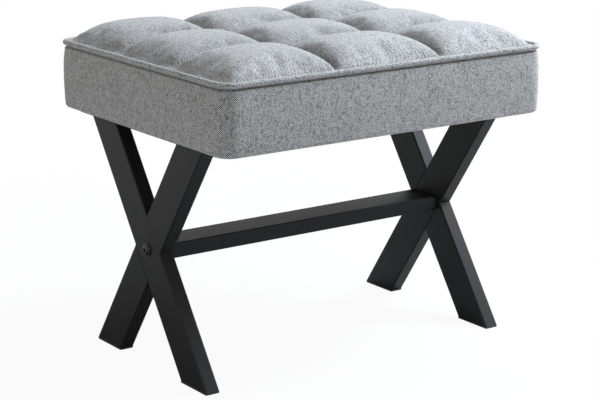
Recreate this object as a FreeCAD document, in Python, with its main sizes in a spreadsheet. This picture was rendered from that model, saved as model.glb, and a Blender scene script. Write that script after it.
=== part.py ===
import FreeCAD, Part
import math
import os

import Sketcher

# Footstool: a quilted, upholstered seat on two welded X-frames that one stretcher joins.
# The origin is on the floor under the middle of the seat. +X runs along the stretcher,
# -Y is the front and +Z is up. Sizes are in millimetres and degrees.

SIZES = {
    # Seat, outside
    "seat_length": 500.0,
    "seat_depth": 405.0,
    "seat_underside": 310.0,
    "corner_radius": 22.0,
    # Steel tube of the legs and the stretcher
    "tube_width": 50.0,
    "tube_thickness": 20.0,
    "tube_wall": 1.5,
    "tube_corner_radius": 2.0,
    # X-frames
    "leg_lean": 34.6,
    "crossing_height": 156.0,
    "frame_inset": 13.0,
    # Plate welded across the top of each X-frame
    "plate_width": 50.0,
    "plate_thickness": 3.0,
    "plate_end_margin": 32.5,
    "plate_corner_radius": 6.0,
    "plate_bolt_margin": 15.0,
    # Plastic glide in each foot
    "glide_thickness": 2.5,
    "glide_plug_depth": 14.0,
    "glide_fit": 0.15,
    # Bolt, bush and nut plate that hold the stretcher to each X-frame
    "stretcher_bolt_diameter": 8.0,
    "stretcher_bolt_length": 28.0,
    "stretcher_bolt_flange": 17.5,
    "stretcher_bolt_flange_thickness": 1.4,
    "stretcher_bolt_head": 14.0,
    "stretcher_bolt_head_height": 4.4,
    "stretcher_bolt_socket": 5.0,
    "stretcher_bolt_socket_depth": 2.6,
    "bush_wall": 3.0,
    "nut_plate_thickness": 6.0,
    "nut_plate_fit": 0.2,
    # Bolt, washer and tee nut that hold each plate to the seat
    "plate_bolt_diameter": 6.0,
    "plate_bolt_length": 25.0,
    "plate_bolt_head": 10.5,
    "plate_bolt_head_height": 3.3,
    "plate_bolt_socket": 4.0,
    "plate_bolt_socket_depth": 2.0,
    "washer_diameter": 14.0,
    "washer_thickness": 1.2,
    "tee_nut_flange": 18.0,
    "tee_nut_flange_thickness": 1.5,
    "tee_nut_barrel": 7.8,
    "tee_nut_barrel_length": 10.0,
    # Room round bolts in plain holes, in threads, and round barrels and tenons
    "hole_clearance": 0.5,
    "thread_clearance": 0.1,
    "wood_fit": 0.2,
    # Timber inside the seat
    "rail_height": 45.0,
    "rail_thickness": 18.0,
    "bearer_width": 55.0,
    "bearer_thickness": 18.0,
    "corner_block_leg": 28.0,
    "tenon_thickness": 8.0,
    "tenon_width": 28.0,
    "tenon_in_side": 12.0,
    "tenon_in_end": 18.0,
    "panel_thickness": 9.0,
    # Padding and cover
    "foam_thickness": 28.0,
    "wadding_thickness": 5.0,
    "fabric_thickness": 1.5,
    "band_draw_in": 1.0,
    "band_bottom_radius": 3.5,
    "hem_width": 25.0,
    "dust_cover_thickness": 0.6,
    "dust_cover_margin": 12.0,
    "piping_diameter": 7.0,
    "soft_gap": 0.3,
    # Quilted top: flat border under the seams, rise of a cell and of the seam between two cells
    "quilt_base": 4.0,
    "quilt_crown": 30.0,
    "quilt_seam_rise": 4.0,
}

QUILT_COLUMNS = 3
QUILT_ROWS = 3
# Where a cell is sectioned both ways, from one seam at -1 to the next at 1
QUILT_STATIONS = (-1.0, -0.9, -0.7, -0.4, 0.0, 0.4, 0.7, 0.9, 1.0)
# How full a cell is between its seams: lower is fuller
QUILT_FULLNESS = 0.6
# Steps of a button head's dome, as shares of its height above the flange and of its radius
DOME_STEPS = ((1.0, 0.62), (0.6, 0.92))
# Sides of the many-sided section that stands for the round piping
PIPING_SIDES = 10
# Sides of the many-sided outlines that stand for the small round fixings of the plates
FIXING_SIDES = 16
# Share of a cap head's height that its bevel takes up
BEVEL_SHARE = 0.25
# Closer than this, two places count as one
TOUCHING = 0.001

# Heights that several pieces share, from the leg tops to the top of the foam
LEG_TOP = "(Sizes.seat_underside - Sizes.plate_thickness)"
LEG_FOOT = "Sizes.glide_thickness"
HEM_BOTTOM = "(Sizes.seat_underside + Sizes.dust_cover_thickness)"
FRAME_BOTTOM = f"({HEM_BOTTOM} + Sizes.fabric_thickness)"
BEARER_TOP = f"({FRAME_BOTTOM} + Sizes.bearer_thickness)"
FRAME_TOP = f"({FRAME_BOTTOM} + Sizes.rail_height)"
PANEL_TOP = f"({FRAME_TOP} + Sizes.panel_thickness)"
FOAM_TOP = f"({PANEL_TOP} + Sizes.foam_thickness)"
PIPING_HEIGHT = f"({FOAM_TOP} + Sizes.soft_gap + Sizes.piping_diameter / 2)"

# X-frame: its middle plane, and half the width of a tube where it is cut level
FRAME_X = "(Sizes.seat_length / 2 - Sizes.frame_inset - Sizes.tube_thickness / 2)"
HALF_CUT = "(Sizes.tube_width / 2 / cos(Sizes.leg_lean))"
HALF_BORE_CUT = "((Sizes.tube_width / 2 - Sizes.tube_wall) / cos(Sizes.leg_lean))"
BORE_THICKNESS = "(Sizes.tube_thickness - 2 * Sizes.tube_wall)"
HALF_TUBE = "(Sizes.tube_thickness / 2)"

# Bolts through the plates, from the middle plane of an X-frame and from the middle of the seat
PLATE_LENGTH = "(Sizes.seat_depth - 2 * Sizes.plate_end_margin)"
BOLT_LINE = "(Sizes.plate_width - Sizes.tube_thickness / 2 - Sizes.plate_bolt_margin)"
BOLT_X = f"({FRAME_X} - {BOLT_LINE})"
BOLT_Y = f"({PLATE_LENGTH} / 2 - Sizes.plate_bolt_margin)"

# Outlines inside the cover, each concentric with the seat's rounded corners
BAND_WALL = "(Sizes.fabric_thickness + Sizes.band_draw_in)"
FRAME_MARGIN = f"({BAND_WALL} + Sizes.wadding_thickness)"
FRAME_LENGTH = f"(Sizes.seat_length - 2 * {FRAME_MARGIN})"
FRAME_DEPTH = f"(Sizes.seat_depth - 2 * {FRAME_MARGIN})"
FRAME_RADIUS = f"(Sizes.corner_radius - {FRAME_MARGIN})"
END_RAIL_LENGTH = f"({FRAME_DEPTH} - 2 * Sizes.rail_thickness)"
BEARER_X = f"({FRAME_LENGTH} / 2 - Sizes.rail_thickness - Sizes.bearer_width / 2)"
BEARER_MIDDLE = f"({FRAME_BOTTOM} + Sizes.bearer_thickness / 2)"
CORNER_X = f"({FRAME_LENGTH} / 2 - Sizes.rail_thickness / 2)"
RAIL_MIDDLE = f"({FRAME_BOTTOM} + Sizes.rail_height / 2)"
HEM_FOLD = "(Sizes.band_draw_in + Sizes.band_bottom_radius)"
SWELL_CHORD = f"({FOAM_TOP} - {HEM_BOTTOM} - Sizes.band_bottom_radius)"
SWELL_RADIUS = f"(({SWELL_CHORD}^2 / 4 + Sizes.band_draw_in^2) / (2 * Sizes.band_draw_in))"
QUILT_MARGIN = "(Sizes.piping_diameter + Sizes.soft_gap)"
QUILT_LENGTH = f"(Sizes.seat_length - 2 * {QUILT_MARGIN})"
QUILT_DEPTH = f"(Sizes.seat_depth - 2 * {QUILT_MARGIN})"
CELL_WIDTH = f"({QUILT_LENGTH} / {QUILT_COLUMNS})"
CELL_DEPTH = f"({QUILT_DEPTH} / {QUILT_ROWS})"
SEAM_HEIGHT = f"({FOAM_TOP} + Sizes.quilt_base)"

document = FreeCAD.newDocument("Footstool")
sheet = document.addObject("Spreadsheet::Sheet", "Sizes")
sub_parts = []


def fill_sheet():
    """Write each driving dimension to its own cell, with its name as the alias."""
    for row, (name, number) in enumerate(SIZES.items(), start=1):
        sheet.set(f"A{row}", name)
        sheet.set(f"B{row}", str(number))
        sheet.setAlias(f"B{row}", name)
    document.recompute()


def measure(expression):
    """Work out an expression on the sheet's cells as a plain number."""
    result = sheet.evalExpression(expression)
    return float(getattr(result, "Value", result))


# Sketches and features


def new_body(label):
    """Start a sub-part whose label names its file."""
    body = document.addObject("PartDesign::Body", label)
    body.Label = label
    sub_parts.append(body)
    return body


def origin_feature(body, role):
    """Find one of a body's own planes or axes."""
    return next(item for item in body.Origin.OriginFeatures if item.Role == role)


def new_sketch(body, name, role, offset="0"):
    """Start a sketch on one of the body's planes, moved along the plane's normal."""
    sketch = body.newObject("Sketcher::SketchObject", name)
    sketch.AttachmentSupport = [(origin_feature(body, role), "")]
    sketch.MapMode = "FlatFace"
    sketch.setExpression("AttachmentOffset.Base.z", offset)
    return sketch


def hold_value(sketch, kind, geometry, expression):
    """Give one curve a size from the sheet."""
    index = sketch.addConstraint(Sketcher.Constraint(kind, geometry, measure(expression)))
    sketch.setExpression(f"Constraints[{index}]", expression)


def hold_point(sketch, geometry, point, across, up):
    """Hold one point of a curve at a place from the sheet."""
    for kind, expression in (("DistanceX", across), ("DistanceY", up)):
        rule = Sketcher.Constraint(kind, geometry, point, measure(expression))
        index = sketch.addConstraint(rule)
        sketch.setExpression(f"Constraints[{index}]", expression)


def join(sketch, first, first_point, second, second_point, kind="Coincident"):
    """Join the ends of two curves."""
    sketch.addConstraint(Sketcher.Constraint(kind, first, first_point, second, second_point))


def draw_line(sketch, start, end):
    """Draw a straight line between two points given as numbers."""
    line = Part.LineSegment(FreeCAD.Vector(*start, 0), FreeCAD.Vector(*end, 0))
    return sketch.addGeometry(line, False)


def draw_arc(sketch, centre, radius, start, end):
    """Draw an arc, anticlockwise between two angles in degrees."""
    circle = Part.Circle(FreeCAD.Vector(*centre, 0), FreeCAD.Vector(0, 0, 1), radius)
    arc = Part.ArcOfCircle(circle, math.radians(start), math.radians(end))
    return sketch.addGeometry(arc, False)


def draw_polygon(sketch, corners):
    """Draw a closed outline whose corners are pairs of expressions."""
    places = [FreeCAD.Vector(measure(across), measure(up), 0) for across, up in corners]
    ends = places[1:] + places[:1]
    lines = sketch.addGeometry([Part.LineSegment(start, end) for start, end in zip(places, ends)])
    rules = []
    for line, following in zip(lines, lines[1:] + lines[:1]):
        rules.append(Sketcher.Constraint("Coincident", line, 2, following, 1))
    expressions = []
    for line, place, (across, up) in zip(lines, places, corners):
        rules.append(Sketcher.Constraint("DistanceX", line, 1, place.x))
        rules.append(Sketcher.Constraint("DistanceY", line, 1, place.y))
        expressions += [across, up]
    first = sketch.ConstraintCount + len(lines)
    sketch.addConstraint(rules)
    for index, expression in enumerate(expressions, start=first):
        sketch.setExpression(f"Constraints[{index}]", expression)


def draw_rectangle(sketch, left, right, bottom, top):
    """Draw a rectangle between four expressions."""
    draw_polygon(sketch, [(left, bottom), (right, bottom), (right, top), (left, top)])


def draw_circle(sketch, across, up, diameter):
    """Draw a circle of a diameter and place from the sheet."""
    centre = FreeCAD.Vector(measure(across), measure(up), 0)
    circle = Part.Circle(centre, FreeCAD.Vector(0, 0, 1), measure(diameter) / 2)
    index = sketch.addGeometry(circle, False)
    hold_point(sketch, index, 3, across, up)
    hold_value(sketch, "Diameter", index, diameter)


def draw_flats(sketch, across, up, flats, sides=6):
    """Draw an even-sided outline, given the distance across its flats."""
    reach = f"({flats}) / 2 / cos({180 / sides})"
    corners = []
    for side in range(sides):
        turn = 360 / sides * side
        corners.append((f"({across}) + {reach} * cos({turn})", f"({up}) + {reach} * sin({turn})"))
    draw_polygon(sketch, corners)


def draw_block(sketch, across, up, width, height, room="0"):
    """Draw a rectangle about its middle, with some room round it."""
    half_width = f"(({width}) + {room}) / 2"
    half_height = f"(({height}) + {room}) / 2"
    draw_rectangle(sketch, f"{across} - {half_width}", f"{across} + {half_width}",
                   f"{up} - {half_height}", f"{up} + {half_height}")


def draw_rounded_rectangle(sketch, width, depth, radius, up="0"):
    """Draw a rectangle with rounded corners, centred on the sketch's upright axis."""
    half_width = measure(width) / 2
    half_depth = measure(depth) / 2
    round_size = measure(radius)
    middle = measure(up)
    side = half_width - round_size
    end = half_depth - round_size
    runs = [
        ((-side, -half_depth), (side, -half_depth), (side, -end), -90),
        ((half_width, -end), (half_width, end), (side, end), 0),
        ((side, half_depth), (-side, half_depth), (-side, end), 90),
        ((-half_width, end), (-half_width, -end), (-side, -end), 180),
    ]
    lines = []
    arcs = []
    for (x0, y0), (x1, y1), (x2, y2), turn in runs:
        lines.append(draw_line(sketch, (x0, y0 + middle), (x1, y1 + middle)))
        arcs.append(draw_arc(sketch, (x2, y2 + middle), round_size, turn, turn + 90))
    for line, arc, following in zip(lines, arcs, lines[1:] + lines[:1]):
        join(sketch, line, 2, arc, 1, "Tangent")
        join(sketch, arc, 2, following, 1, "Tangent")
    for line, kind in zip(lines, ("Horizontal", "Vertical", "Horizontal", "Vertical")):
        sketch.addConstraint(Sketcher.Constraint(kind, line))
    for arc in arcs[1:]:
        sketch.addConstraint(Sketcher.Constraint("Equal", arcs[0], arc))
    hold_point(sketch, lines[0], 1, f"({radius}) - ({width}) / 2", f"({up}) - ({depth}) / 2")
    hold_point(sketch, lines[2], 1, f"({width}) / 2 - ({radius})", f"({up}) + ({depth}) / 2")
    hold_value(sketch, "Radius", arcs[0], radius)


def pad(body, name, sketch, length, both_ways=False, backwards=False):
    """Give an outline its thickness."""
    feature = body.newObject("PartDesign::Pad", name)
    feature.Profile = sketch
    feature.Midplane = both_ways
    feature.Reversed = backwards
    feature.setExpression("Length", length)
    document.recompute()
    return feature


def cut(body, name, sketch, length=None, both_ways=False, backwards=False):
    """Cut an outline out of a body, right through it where no length is given."""
    volume = body.Shape.Volume
    feature = body.newObject("PartDesign::Pocket", name)
    feature.Profile = sketch
    feature.Midplane = both_ways
    feature.Reversed = backwards
    if length is None:
        feature.Type = "ThroughAll"
    else:
        feature.setExpression("Length", length)
    document.recompute()
    if feature.Shape.Volume >= volume:
        raise RuntimeError(f"{body.Label}: {name} cuts nothing")


def sweep(body, name, section, route):
    """Carry a section along a closed route."""
    document.recompute()
    feature = body.newObject("PartDesign::AdditivePipe", name)
    feature.Profile = section
    feature.Spine = route
    document.recompute()


def named_edges(shape, wanted):
    """The names of those edges of a shape that pass a test."""
    return [f"Edge{index}" for index, edge in enumerate(shape.Edges, start=1) if wanted(edge)]


def round_edges(body, name, radius, wanted):
    """Round those edges of a body that pass a test."""
    base = body.Tip
    feature = body.newObject("PartDesign::Fillet", name)
    feature.Base = (base, named_edges(base.Shape, wanted))
    feature.setExpression("Radius", radius)
    document.recompute()


def bevel_edges(body, name, size, wanted):
    """Bevel those edges of a body that pass a test."""
    base = body.Tip
    feature = body.newObject("PartDesign::Chamfer", name)
    feature.Base = (base, named_edges(base.Shape, wanted))
    feature.setExpression("Size", size)
    document.recompute()


def runs_along(edge, direction):
    """Say whether an edge is straight and parallel to a direction."""
    if not isinstance(edge.Curve, Part.Line):
        return False
    return abs(edge.tangentAt(edge.FirstParameter).dot(direction)) > 0.9999


def lies_at_height(edge, expression):
    """Say whether a whole edge lies at one height."""
    height = measure(expression)
    return all(abs(vertex.Z - height) < TOUCHING for vertex in edge.Vertexes)


def place(body, across="0", along="0", up="0", turn=0):
    """Turn a body about the upright axis and set it in its place."""
    spin = FreeCAD.Rotation(FreeCAD.Vector(0, 0, 1), turn)
    body.Placement = FreeCAD.Placement(FreeCAD.Vector(), spin)
    body.setExpression("Placement.Base.x", across)
    body.setExpression("Placement.Base.y", along)
    body.setExpression("Placement.Base.z", up)


def place_in_frame(body, side):
    """Set a piece of an X-frame at its end of the stool. The right frame is the left one turned round."""
    if side == "left":
        place(body, across=f"-{FRAME_X}")
    else:
        place(body, across=FRAME_X, turn=180)


# X-frames


def lean_at(height):
    """Where the middle line of the through leg stands at a height."""
    return f"(({height}) - Sizes.crossing_height) * tan(Sizes.leg_lean)"


def lean_direction(sign):
    """The direction of a leaning tube, towards the back or the front as it rises."""
    lean = math.radians(measure("Sizes.leg_lean"))
    return FreeCAD.Vector(0, sign * math.sin(lean), math.cos(lean))


def leaning_band(sign, half_width, low, high):
    """The four corners of a leaning tube between two heights."""
    foot = f"{sign} * {lean_at(low)}"
    head = f"{sign} * {lean_at(high)}"
    return [
        (f"{foot} - {half_width}", low),
        (f"{foot} + {half_width}", low),
        (f"{head} + {half_width}", high),
        (f"{head} - {half_width}", high),
    ]


def leg_tube(label, side, outline, sign):
    """A rectangular tube in the plane of the X-frame, open at both cut ends."""
    body = new_body(label)
    sketch = new_sketch(body, "outline", "YZ_Plane")
    draw_polygon(sketch, outline)
    pad(body, "tube", sketch, "Sizes.tube_thickness", both_ways=True)
    direction = lean_direction(sign)
    round_edges(body, "corners", "Sizes.tube_corner_radius", lambda edge: runs_along(edge, direction))
    past_foot = f"({LEG_FOOT} - Sizes.tube_width)"
    past_top = f"({LEG_TOP} + Sizes.tube_width)"
    bore = new_sketch(body, "bore", "YZ_Plane")
    draw_polygon(bore, leaning_band(sign, HALF_BORE_CUT, past_foot, past_top))
    cut(body, "hollow", bore, BORE_THICKNESS, both_ways=True)
    place_in_frame(body, side)
    return body


def through_leg(side):
    """The leg that runs from the front foot to the back of the seat, drilled for the stretcher's bolt."""
    body = leg_tube(f"{side}_through_leg", side, leaning_band(1, HALF_CUT, LEG_FOOT, LEG_TOP), 1)
    sketch = new_sketch(body, "bolt_hole", "YZ_Plane")
    hole = "Sizes.stretcher_bolt_diameter + Sizes.hole_clearance"
    draw_circle(sketch, "0", "Sizes.crossing_height", hole)
    cut(body, "drilling", sketch, both_ways=True)


def half_legs(side):
    """The other leg of the X, in two halves mitred against the sides of the through leg."""
    fork = f"{HALF_CUT} / tan(Sizes.leg_lean)"
    head = f"-{lean_at(LEG_TOP)}"
    foot = f"-{lean_at(LEG_FOOT)}"
    upper = [
        (f"-{HALF_CUT}", "Sizes.crossing_height"),
        ("0", f"Sizes.crossing_height + {fork}"),
        (f"{head} + {HALF_CUT}", LEG_TOP),
        (f"{head} - {HALF_CUT}", LEG_TOP),
    ]
    lower = [
        (f"{foot} - {HALF_CUT}", LEG_FOOT),
        (f"{foot} + {HALF_CUT}", LEG_FOOT),
        (HALF_CUT, "Sizes.crossing_height"),
        ("0", f"Sizes.crossing_height - {fork}"),
    ]
    leg_tube(f"{side}_upper_half_leg", side, upper, -1)
    leg_tube(f"{side}_lower_half_leg", side, lower, -1)


def mount_plate(side):
    """The flat bar welded over the leg tops, wider towards the middle of the seat."""
    body = new_body(f"{side}_mount_plate")
    sketch = new_sketch(body, "outline", "XY_Plane", LEG_TOP)
    inner_edge = f"Sizes.plate_width - {HALF_TUBE}"
    draw_rectangle(sketch, f"-{HALF_TUBE}", inner_edge, f"-{PLATE_LENGTH} / 2", f"{PLATE_LENGTH} / 2")
    for sign in (-1, 1):
        hole = "Sizes.plate_bolt_diameter + Sizes.hole_clearance"
        draw_circle(sketch, BOLT_LINE, f"{sign} * {BOLT_Y}", hole)
    pad(body, "plate", sketch, "Sizes.plate_thickness")
    upright = FreeCAD.Vector(0, 0, 1)
    end = measure(f"{PLATE_LENGTH} / 2")
    round_edges(body, "corners", "Sizes.plate_corner_radius", lambda edge: runs_along(edge, upright)
                and abs(abs(edge.Vertexes[0].Y) - end) < TOUCHING)
    place_in_frame(body, side)


def spacer_bush(side):
    """The hexagon bush inside the crossing that keeps the bolt from crushing the tube."""
    body = new_body(f"{side}_spacer_bush")
    sketch = new_sketch(body, "ring", "YZ_Plane")
    bore = "Sizes.stretcher_bolt_diameter + Sizes.hole_clearance"
    draw_circle(sketch, "0", "Sizes.crossing_height", bore)
    draw_flats(sketch, "0", "Sizes.crossing_height", f"{bore} + 2 * Sizes.bush_wall")
    pad(body, "bush", sketch, BORE_THICKNESS, both_ways=True)
    place_in_frame(body, side)


def foot_glide(side, end, sign):
    """A moulded foot: a base as wide as the cut tube and a leaning plug that fits its bore."""
    body = new_body(f"{side}_{end}_glide")
    middle = f"{sign} * {lean_at(LEG_FOOT)}"
    base = new_sketch(body, "base", "XY_Plane")
    corner = "Sizes.tube_corner_radius"
    draw_rounded_rectangle(base, "Sizes.tube_thickness", f"2 * {HALF_CUT}", corner, middle)
    pad(body, "base_plate", base, "Sizes.glide_thickness")
    plug = new_sketch(body, "plug", "YZ_Plane")
    half_plug = f"({HALF_BORE_CUT} - Sizes.glide_fit)"
    draw_polygon(plug, leaning_band(sign, half_plug, LEG_FOOT, f"{LEG_FOOT} + Sizes.glide_plug_depth"))
    pad(body, "plug_block", plug, f"{BORE_THICKNESS} - 2 * Sizes.glide_fit", both_ways=True)
    place_in_frame(body, side)


# Stretcher and its fixings


def stretcher():
    """The tube laid flat between the inner faces of the two X-frames."""
    body = new_body("stretcher")
    sketch = new_sketch(body, "section", "YZ_Plane")
    height = "Sizes.crossing_height"
    corner = "Sizes.tube_corner_radius"
    draw_rounded_rectangle(sketch, "Sizes.tube_width", "Sizes.tube_thickness", corner, height)
    bore_width = "Sizes.tube_width - 2 * Sizes.tube_wall"
    draw_rectangle(sketch, f"-({bore_width}) / 2", f"({bore_width}) / 2",
                   f"{height} - {BORE_THICKNESS} / 2", f"{height} + {BORE_THICKNESS} / 2")
    pad(body, "tube", sketch, f"2 * ({FRAME_X} - {HALF_TUBE})", both_ways=True)


def nut_plate(side):
    """The threaded plate welded in the end of the stretcher."""
    body = new_body(f"{side}_nut_plate")
    sketch = new_sketch(body, "outline", "YZ_Plane", HALF_TUBE)
    half_width = "(Sizes.tube_width / 2 - Sizes.tube_wall - Sizes.nut_plate_fit)"
    half_height = f"({BORE_THICKNESS} / 2 - Sizes.nut_plate_fit)"
    draw_rectangle(sketch, f"-{half_width}", half_width, f"Sizes.crossing_height - {half_height}",
                   f"Sizes.crossing_height + {half_height}")
    hole = "Sizes.stretcher_bolt_diameter + Sizes.thread_clearance"
    draw_circle(sketch, "0", "Sizes.crossing_height", hole)
    pad(body, "plate", sketch, "Sizes.nut_plate_thickness")
    place_in_frame(body, side)


def stretcher_bolt(side):
    """The flanged button-head bolt in the middle of the crossing, turned about its own axis."""
    body = new_body(f"{side}_stretcher_bolt")
    outer_face = f"(-{HALF_TUBE})"
    flange_face = f"({outer_face} - Sizes.stretcher_bolt_flange_thickness)"
    crown = f"({outer_face} - Sizes.stretcher_bolt_head_height)"
    dome_height = f"({flange_face} - {crown})"
    tip = f"({outer_face} + Sizes.stretcher_bolt_length)"
    sketch = new_sketch(body, "profile", "XY_Plane", "Sizes.crossing_height")
    draw_polygon(sketch, [
        (crown, "0"),
        (tip, "0"),
        (tip, "Sizes.stretcher_bolt_diameter / 2"),
        (outer_face, "Sizes.stretcher_bolt_diameter / 2"),
        (outer_face, "Sizes.stretcher_bolt_flange / 2"),
        (flange_face, "Sizes.stretcher_bolt_flange / 2"),
        (flange_face, "Sizes.stretcher_bolt_head / 2"),
    ] + [
        (f"{flange_face} - {rise} * {dome_height}", f"{reach} * Sizes.stretcher_bolt_head / 2")
        for rise, reach in reversed(DOME_STEPS)
    ])
    feature = body.newObject("PartDesign::Revolution", "turning")
    feature.Profile = sketch
    feature.ReferenceAxis = (sketch, ["H_Axis"])
    document.recompute()
    socket = new_sketch(body, "socket", "YZ_Plane", crown)
    draw_flats(socket, "0", "Sizes.crossing_height", "Sizes.stretcher_bolt_socket")
    cut(body, "socket_cut", socket, "Sizes.stretcher_bolt_socket_depth", backwards=True)
    place_in_frame(body, side)


# Fixings of the plates, each kind in one group


def plate_bolt_places():
    """The places of the bolts through both plates."""
    places = []
    for across in (f"-{BOLT_X}", BOLT_X):
        places.append((across, f"-{BOLT_Y}"))
        places.append((across, BOLT_Y))
    return places


def pad_at_bolts(body, name, height, diameters, length, backwards=False):
    """Pad many-sided rounds of one or more diameters about every plate bolt."""
    for number, (across, along) in enumerate(plate_bolt_places(), start=1):
        sketch = new_sketch(body, f"{name}_round_{number}", "XY_Plane", height)
        for diameter in diameters:
            flats = f"({diameter}) * cos({180 / FIXING_SIDES})"
            draw_flats(sketch, across, along, flats, FIXING_SIDES)
        pad(body, f"{name}_{number}", sketch, length, backwards=backwards)


def plate_washers():
    """Flat washers under the heads of the plate bolts."""
    body = new_body("plate_washers")
    hole = "Sizes.plate_bolt_diameter + Sizes.hole_clearance"
    pad_at_bolts(body, "washer", LEG_TOP, ("Sizes.washer_diameter", hole), "Sizes.washer_thickness", True)


def plate_bolts():
    """Low cap-head bolts up through the plates, with hexagon sockets below."""
    body = new_body("plate_bolts")
    seat = f"({LEG_TOP} - Sizes.washer_thickness)"
    crown = f"({seat} - Sizes.plate_bolt_head_height)"
    pad_at_bolts(body, "head", seat, ("Sizes.plate_bolt_head",), "Sizes.plate_bolt_head_height", True)
    bevel = f"{BEVEL_SHARE} * Sizes.plate_bolt_head_height"
    bevel_edges(body, "bevel", bevel, lambda edge: lies_at_height(edge, crown))
    pad_at_bolts(body, "shank", seat, ("Sizes.plate_bolt_diameter",), "Sizes.plate_bolt_length")
    sockets = new_sketch(body, "sockets", "XY_Plane", crown)
    for across, along in plate_bolt_places():
        draw_flats(sockets, across, along, "Sizes.plate_bolt_socket")
    cut(body, "socket_cut", sockets, "Sizes.plate_bolt_socket_depth", backwards=True)


def tee_nuts():
    """Tee nuts let into the bearers from above, one over each plate bolt."""
    body = new_body("tee_nuts")
    thread = "Sizes.plate_bolt_diameter + Sizes.thread_clearance"
    flange = ("Sizes.tee_nut_flange", thread)
    pad_at_bolts(body, "flange", BEARER_TOP, flange, "Sizes.tee_nut_flange_thickness")
    barrel = ("Sizes.tee_nut_barrel", thread)
    pad_at_bolts(body, "barrel", BEARER_TOP, barrel, "Sizes.tee_nut_barrel_length", True)


# Timber frame of the seat


def tenon_places():
    """Middle, width and height of the tenons in a side rail: upright in the corners, flat in the bearers."""
    places = []
    for side in (-1, 1):
        places.append((f"{side} * {CORNER_X}", RAIL_MIDDLE, "Sizes.tenon_thickness", "Sizes.tenon_width"))
        places.append((f"{side} * {BEARER_X}", BEARER_MIDDLE, "Sizes.tenon_width", "Sizes.tenon_thickness"))
    return places


def side_rail(label, along, turn):
    """A long rail with rounded outer corners, mortised inside for the end rails and the bearers."""
    body = new_body(label)
    sketch = new_sketch(body, "outline", "XY_Plane", FRAME_BOTTOM)
    half_length = f"{FRAME_LENGTH} / 2"
    draw_rectangle(sketch, f"-{half_length}", half_length, "0", "Sizes.rail_thickness")
    pad(body, "rail", sketch, "Sizes.rail_height")
    upright = FreeCAD.Vector(0, 0, 1)
    round_edges(body, "outer_corners", FRAME_RADIUS, lambda edge: runs_along(edge, upright)
                and abs(edge.Vertexes[0].Y) < TOUCHING)
    mortises = new_sketch(body, "mortises", "XZ_Plane", "-Sizes.rail_thickness")
    for across, height, width, depth in tenon_places():
        draw_block(mortises, across, height, width, depth, "Sizes.wood_fit")
    cut(body, "mortising", mortises, "Sizes.tenon_in_side + Sizes.wood_fit", backwards=True)
    place(body, along=along, turn=turn)


def mortise_ends(body, across, up, width, height):
    """Cut a mortise for a loose tenon into both ends of a rail or bearer."""
    for name, sign in (("front", 1), ("back", -1)):
        mortise = new_sketch(body, f"{name}_mortise", "XZ_Plane", f"{sign} * {END_RAIL_LENGTH} / 2")
        draw_block(mortise, across, up, width, height, "Sizes.wood_fit")
        depth = "Sizes.tenon_in_end + Sizes.wood_fit"
        cut(body, f"{name}_mortising", mortise, depth, backwards=sign < 0)


def end_rail(label, across, turn):
    """A short rail between the side rails, with a mortise in each end."""
    body = new_body(label)
    sketch = new_sketch(body, "outline", "XY_Plane", FRAME_BOTTOM)
    half_length = f"{END_RAIL_LENGTH} / 2"
    draw_rectangle(sketch, "0", "Sizes.rail_thickness", f"-{half_length}", half_length)
    pad(body, "rail", sketch, "Sizes.rail_height")
    mortise_ends(body, "Sizes.rail_thickness / 2", RAIL_MIDDLE, "Sizes.tenon_thickness", "Sizes.tenon_width")
    place(body, across=across, turn=turn)


def bearer(label, turn):
    """A flat cross-member beside an end rail, which carries the tee nuts."""
    body = new_body(label)
    sketch = new_sketch(body, "outline", "XY_Plane", FRAME_BOTTOM)
    half_length = f"{END_RAIL_LENGTH} / 2"
    half_width = "Sizes.bearer_width / 2"
    draw_rectangle(sketch, f"-{half_width}", half_width, f"-{half_length}", half_length)
    for sign in (-1, 1):
        hole = "Sizes.tee_nut_barrel + Sizes.wood_fit"
        draw_circle(sketch, f"{BEARER_X} - {BOLT_X}", f"{sign} * {BOLT_Y}", hole)
    pad(body, "board", sketch, "Sizes.bearer_thickness")
    mortise_ends(body, "0", BEARER_MIDDLE, "Sizes.tenon_width", "Sizes.tenon_thickness")
    across = f"-{BEARER_X}" if turn == 0 else BEARER_X
    place(body, across=across, turn=turn)


def corner_block(label, across, along, turn):
    """A triangular block glued into a corner of the frame, on top of the bearer."""
    body = new_body(label)
    sketch = new_sketch(body, "outline", "XY_Plane", BEARER_TOP)
    draw_polygon(sketch, [("0", "0"), ("Sizes.corner_block_leg", "0"), ("0", "Sizes.corner_block_leg")])
    pad(body, "block", sketch, "Sizes.rail_height - Sizes.bearer_thickness")
    inner_x = f"({FRAME_LENGTH} / 2 - Sizes.rail_thickness)"
    inner_y = f"({END_RAIL_LENGTH} / 2)"
    place(body, across=f"{across} * {inner_x}", along=f"{along} * {inner_y}", turn=turn)


def frame_tenons():
    """Loose beech tenons across the joints of the side rails with the end rails and the bearers."""
    body = new_body("frame_tenons")
    for name, sign in (("front", 1), ("back", -1)):
        start = f"{sign} * ({END_RAIL_LENGTH} / 2 + Sizes.tenon_in_side)"
        sketch = new_sketch(body, f"{name}_tenons", "XZ_Plane", start)
        for across, height, width, depth in tenon_places():
            draw_block(sketch, across, height, width, depth)
        pad(body, f"{name}_row", sketch, "Sizes.tenon_in_side + Sizes.tenon_in_end", backwards=sign > 0)


def slab(label, bottom, thickness):
    """A board or foam sheet as large as the timber frame."""
    body = new_body(label)
    sketch = new_sketch(body, "outline", "XY_Plane", bottom)
    draw_rounded_rectangle(sketch, FRAME_LENGTH, FRAME_DEPTH, FRAME_RADIUS)
    pad(body, "slab", sketch, thickness)


# Padding and cover


def draw_seat_outline(sketch, inset):
    """Draw the seat's rounded outline, drawn in by a margin all round."""
    draw_rounded_rectangle(sketch, f"Sizes.seat_length - 2 * {inset}", f"Sizes.seat_depth - 2 * {inset}",
                           f"Sizes.corner_radius - {inset}")


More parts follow.
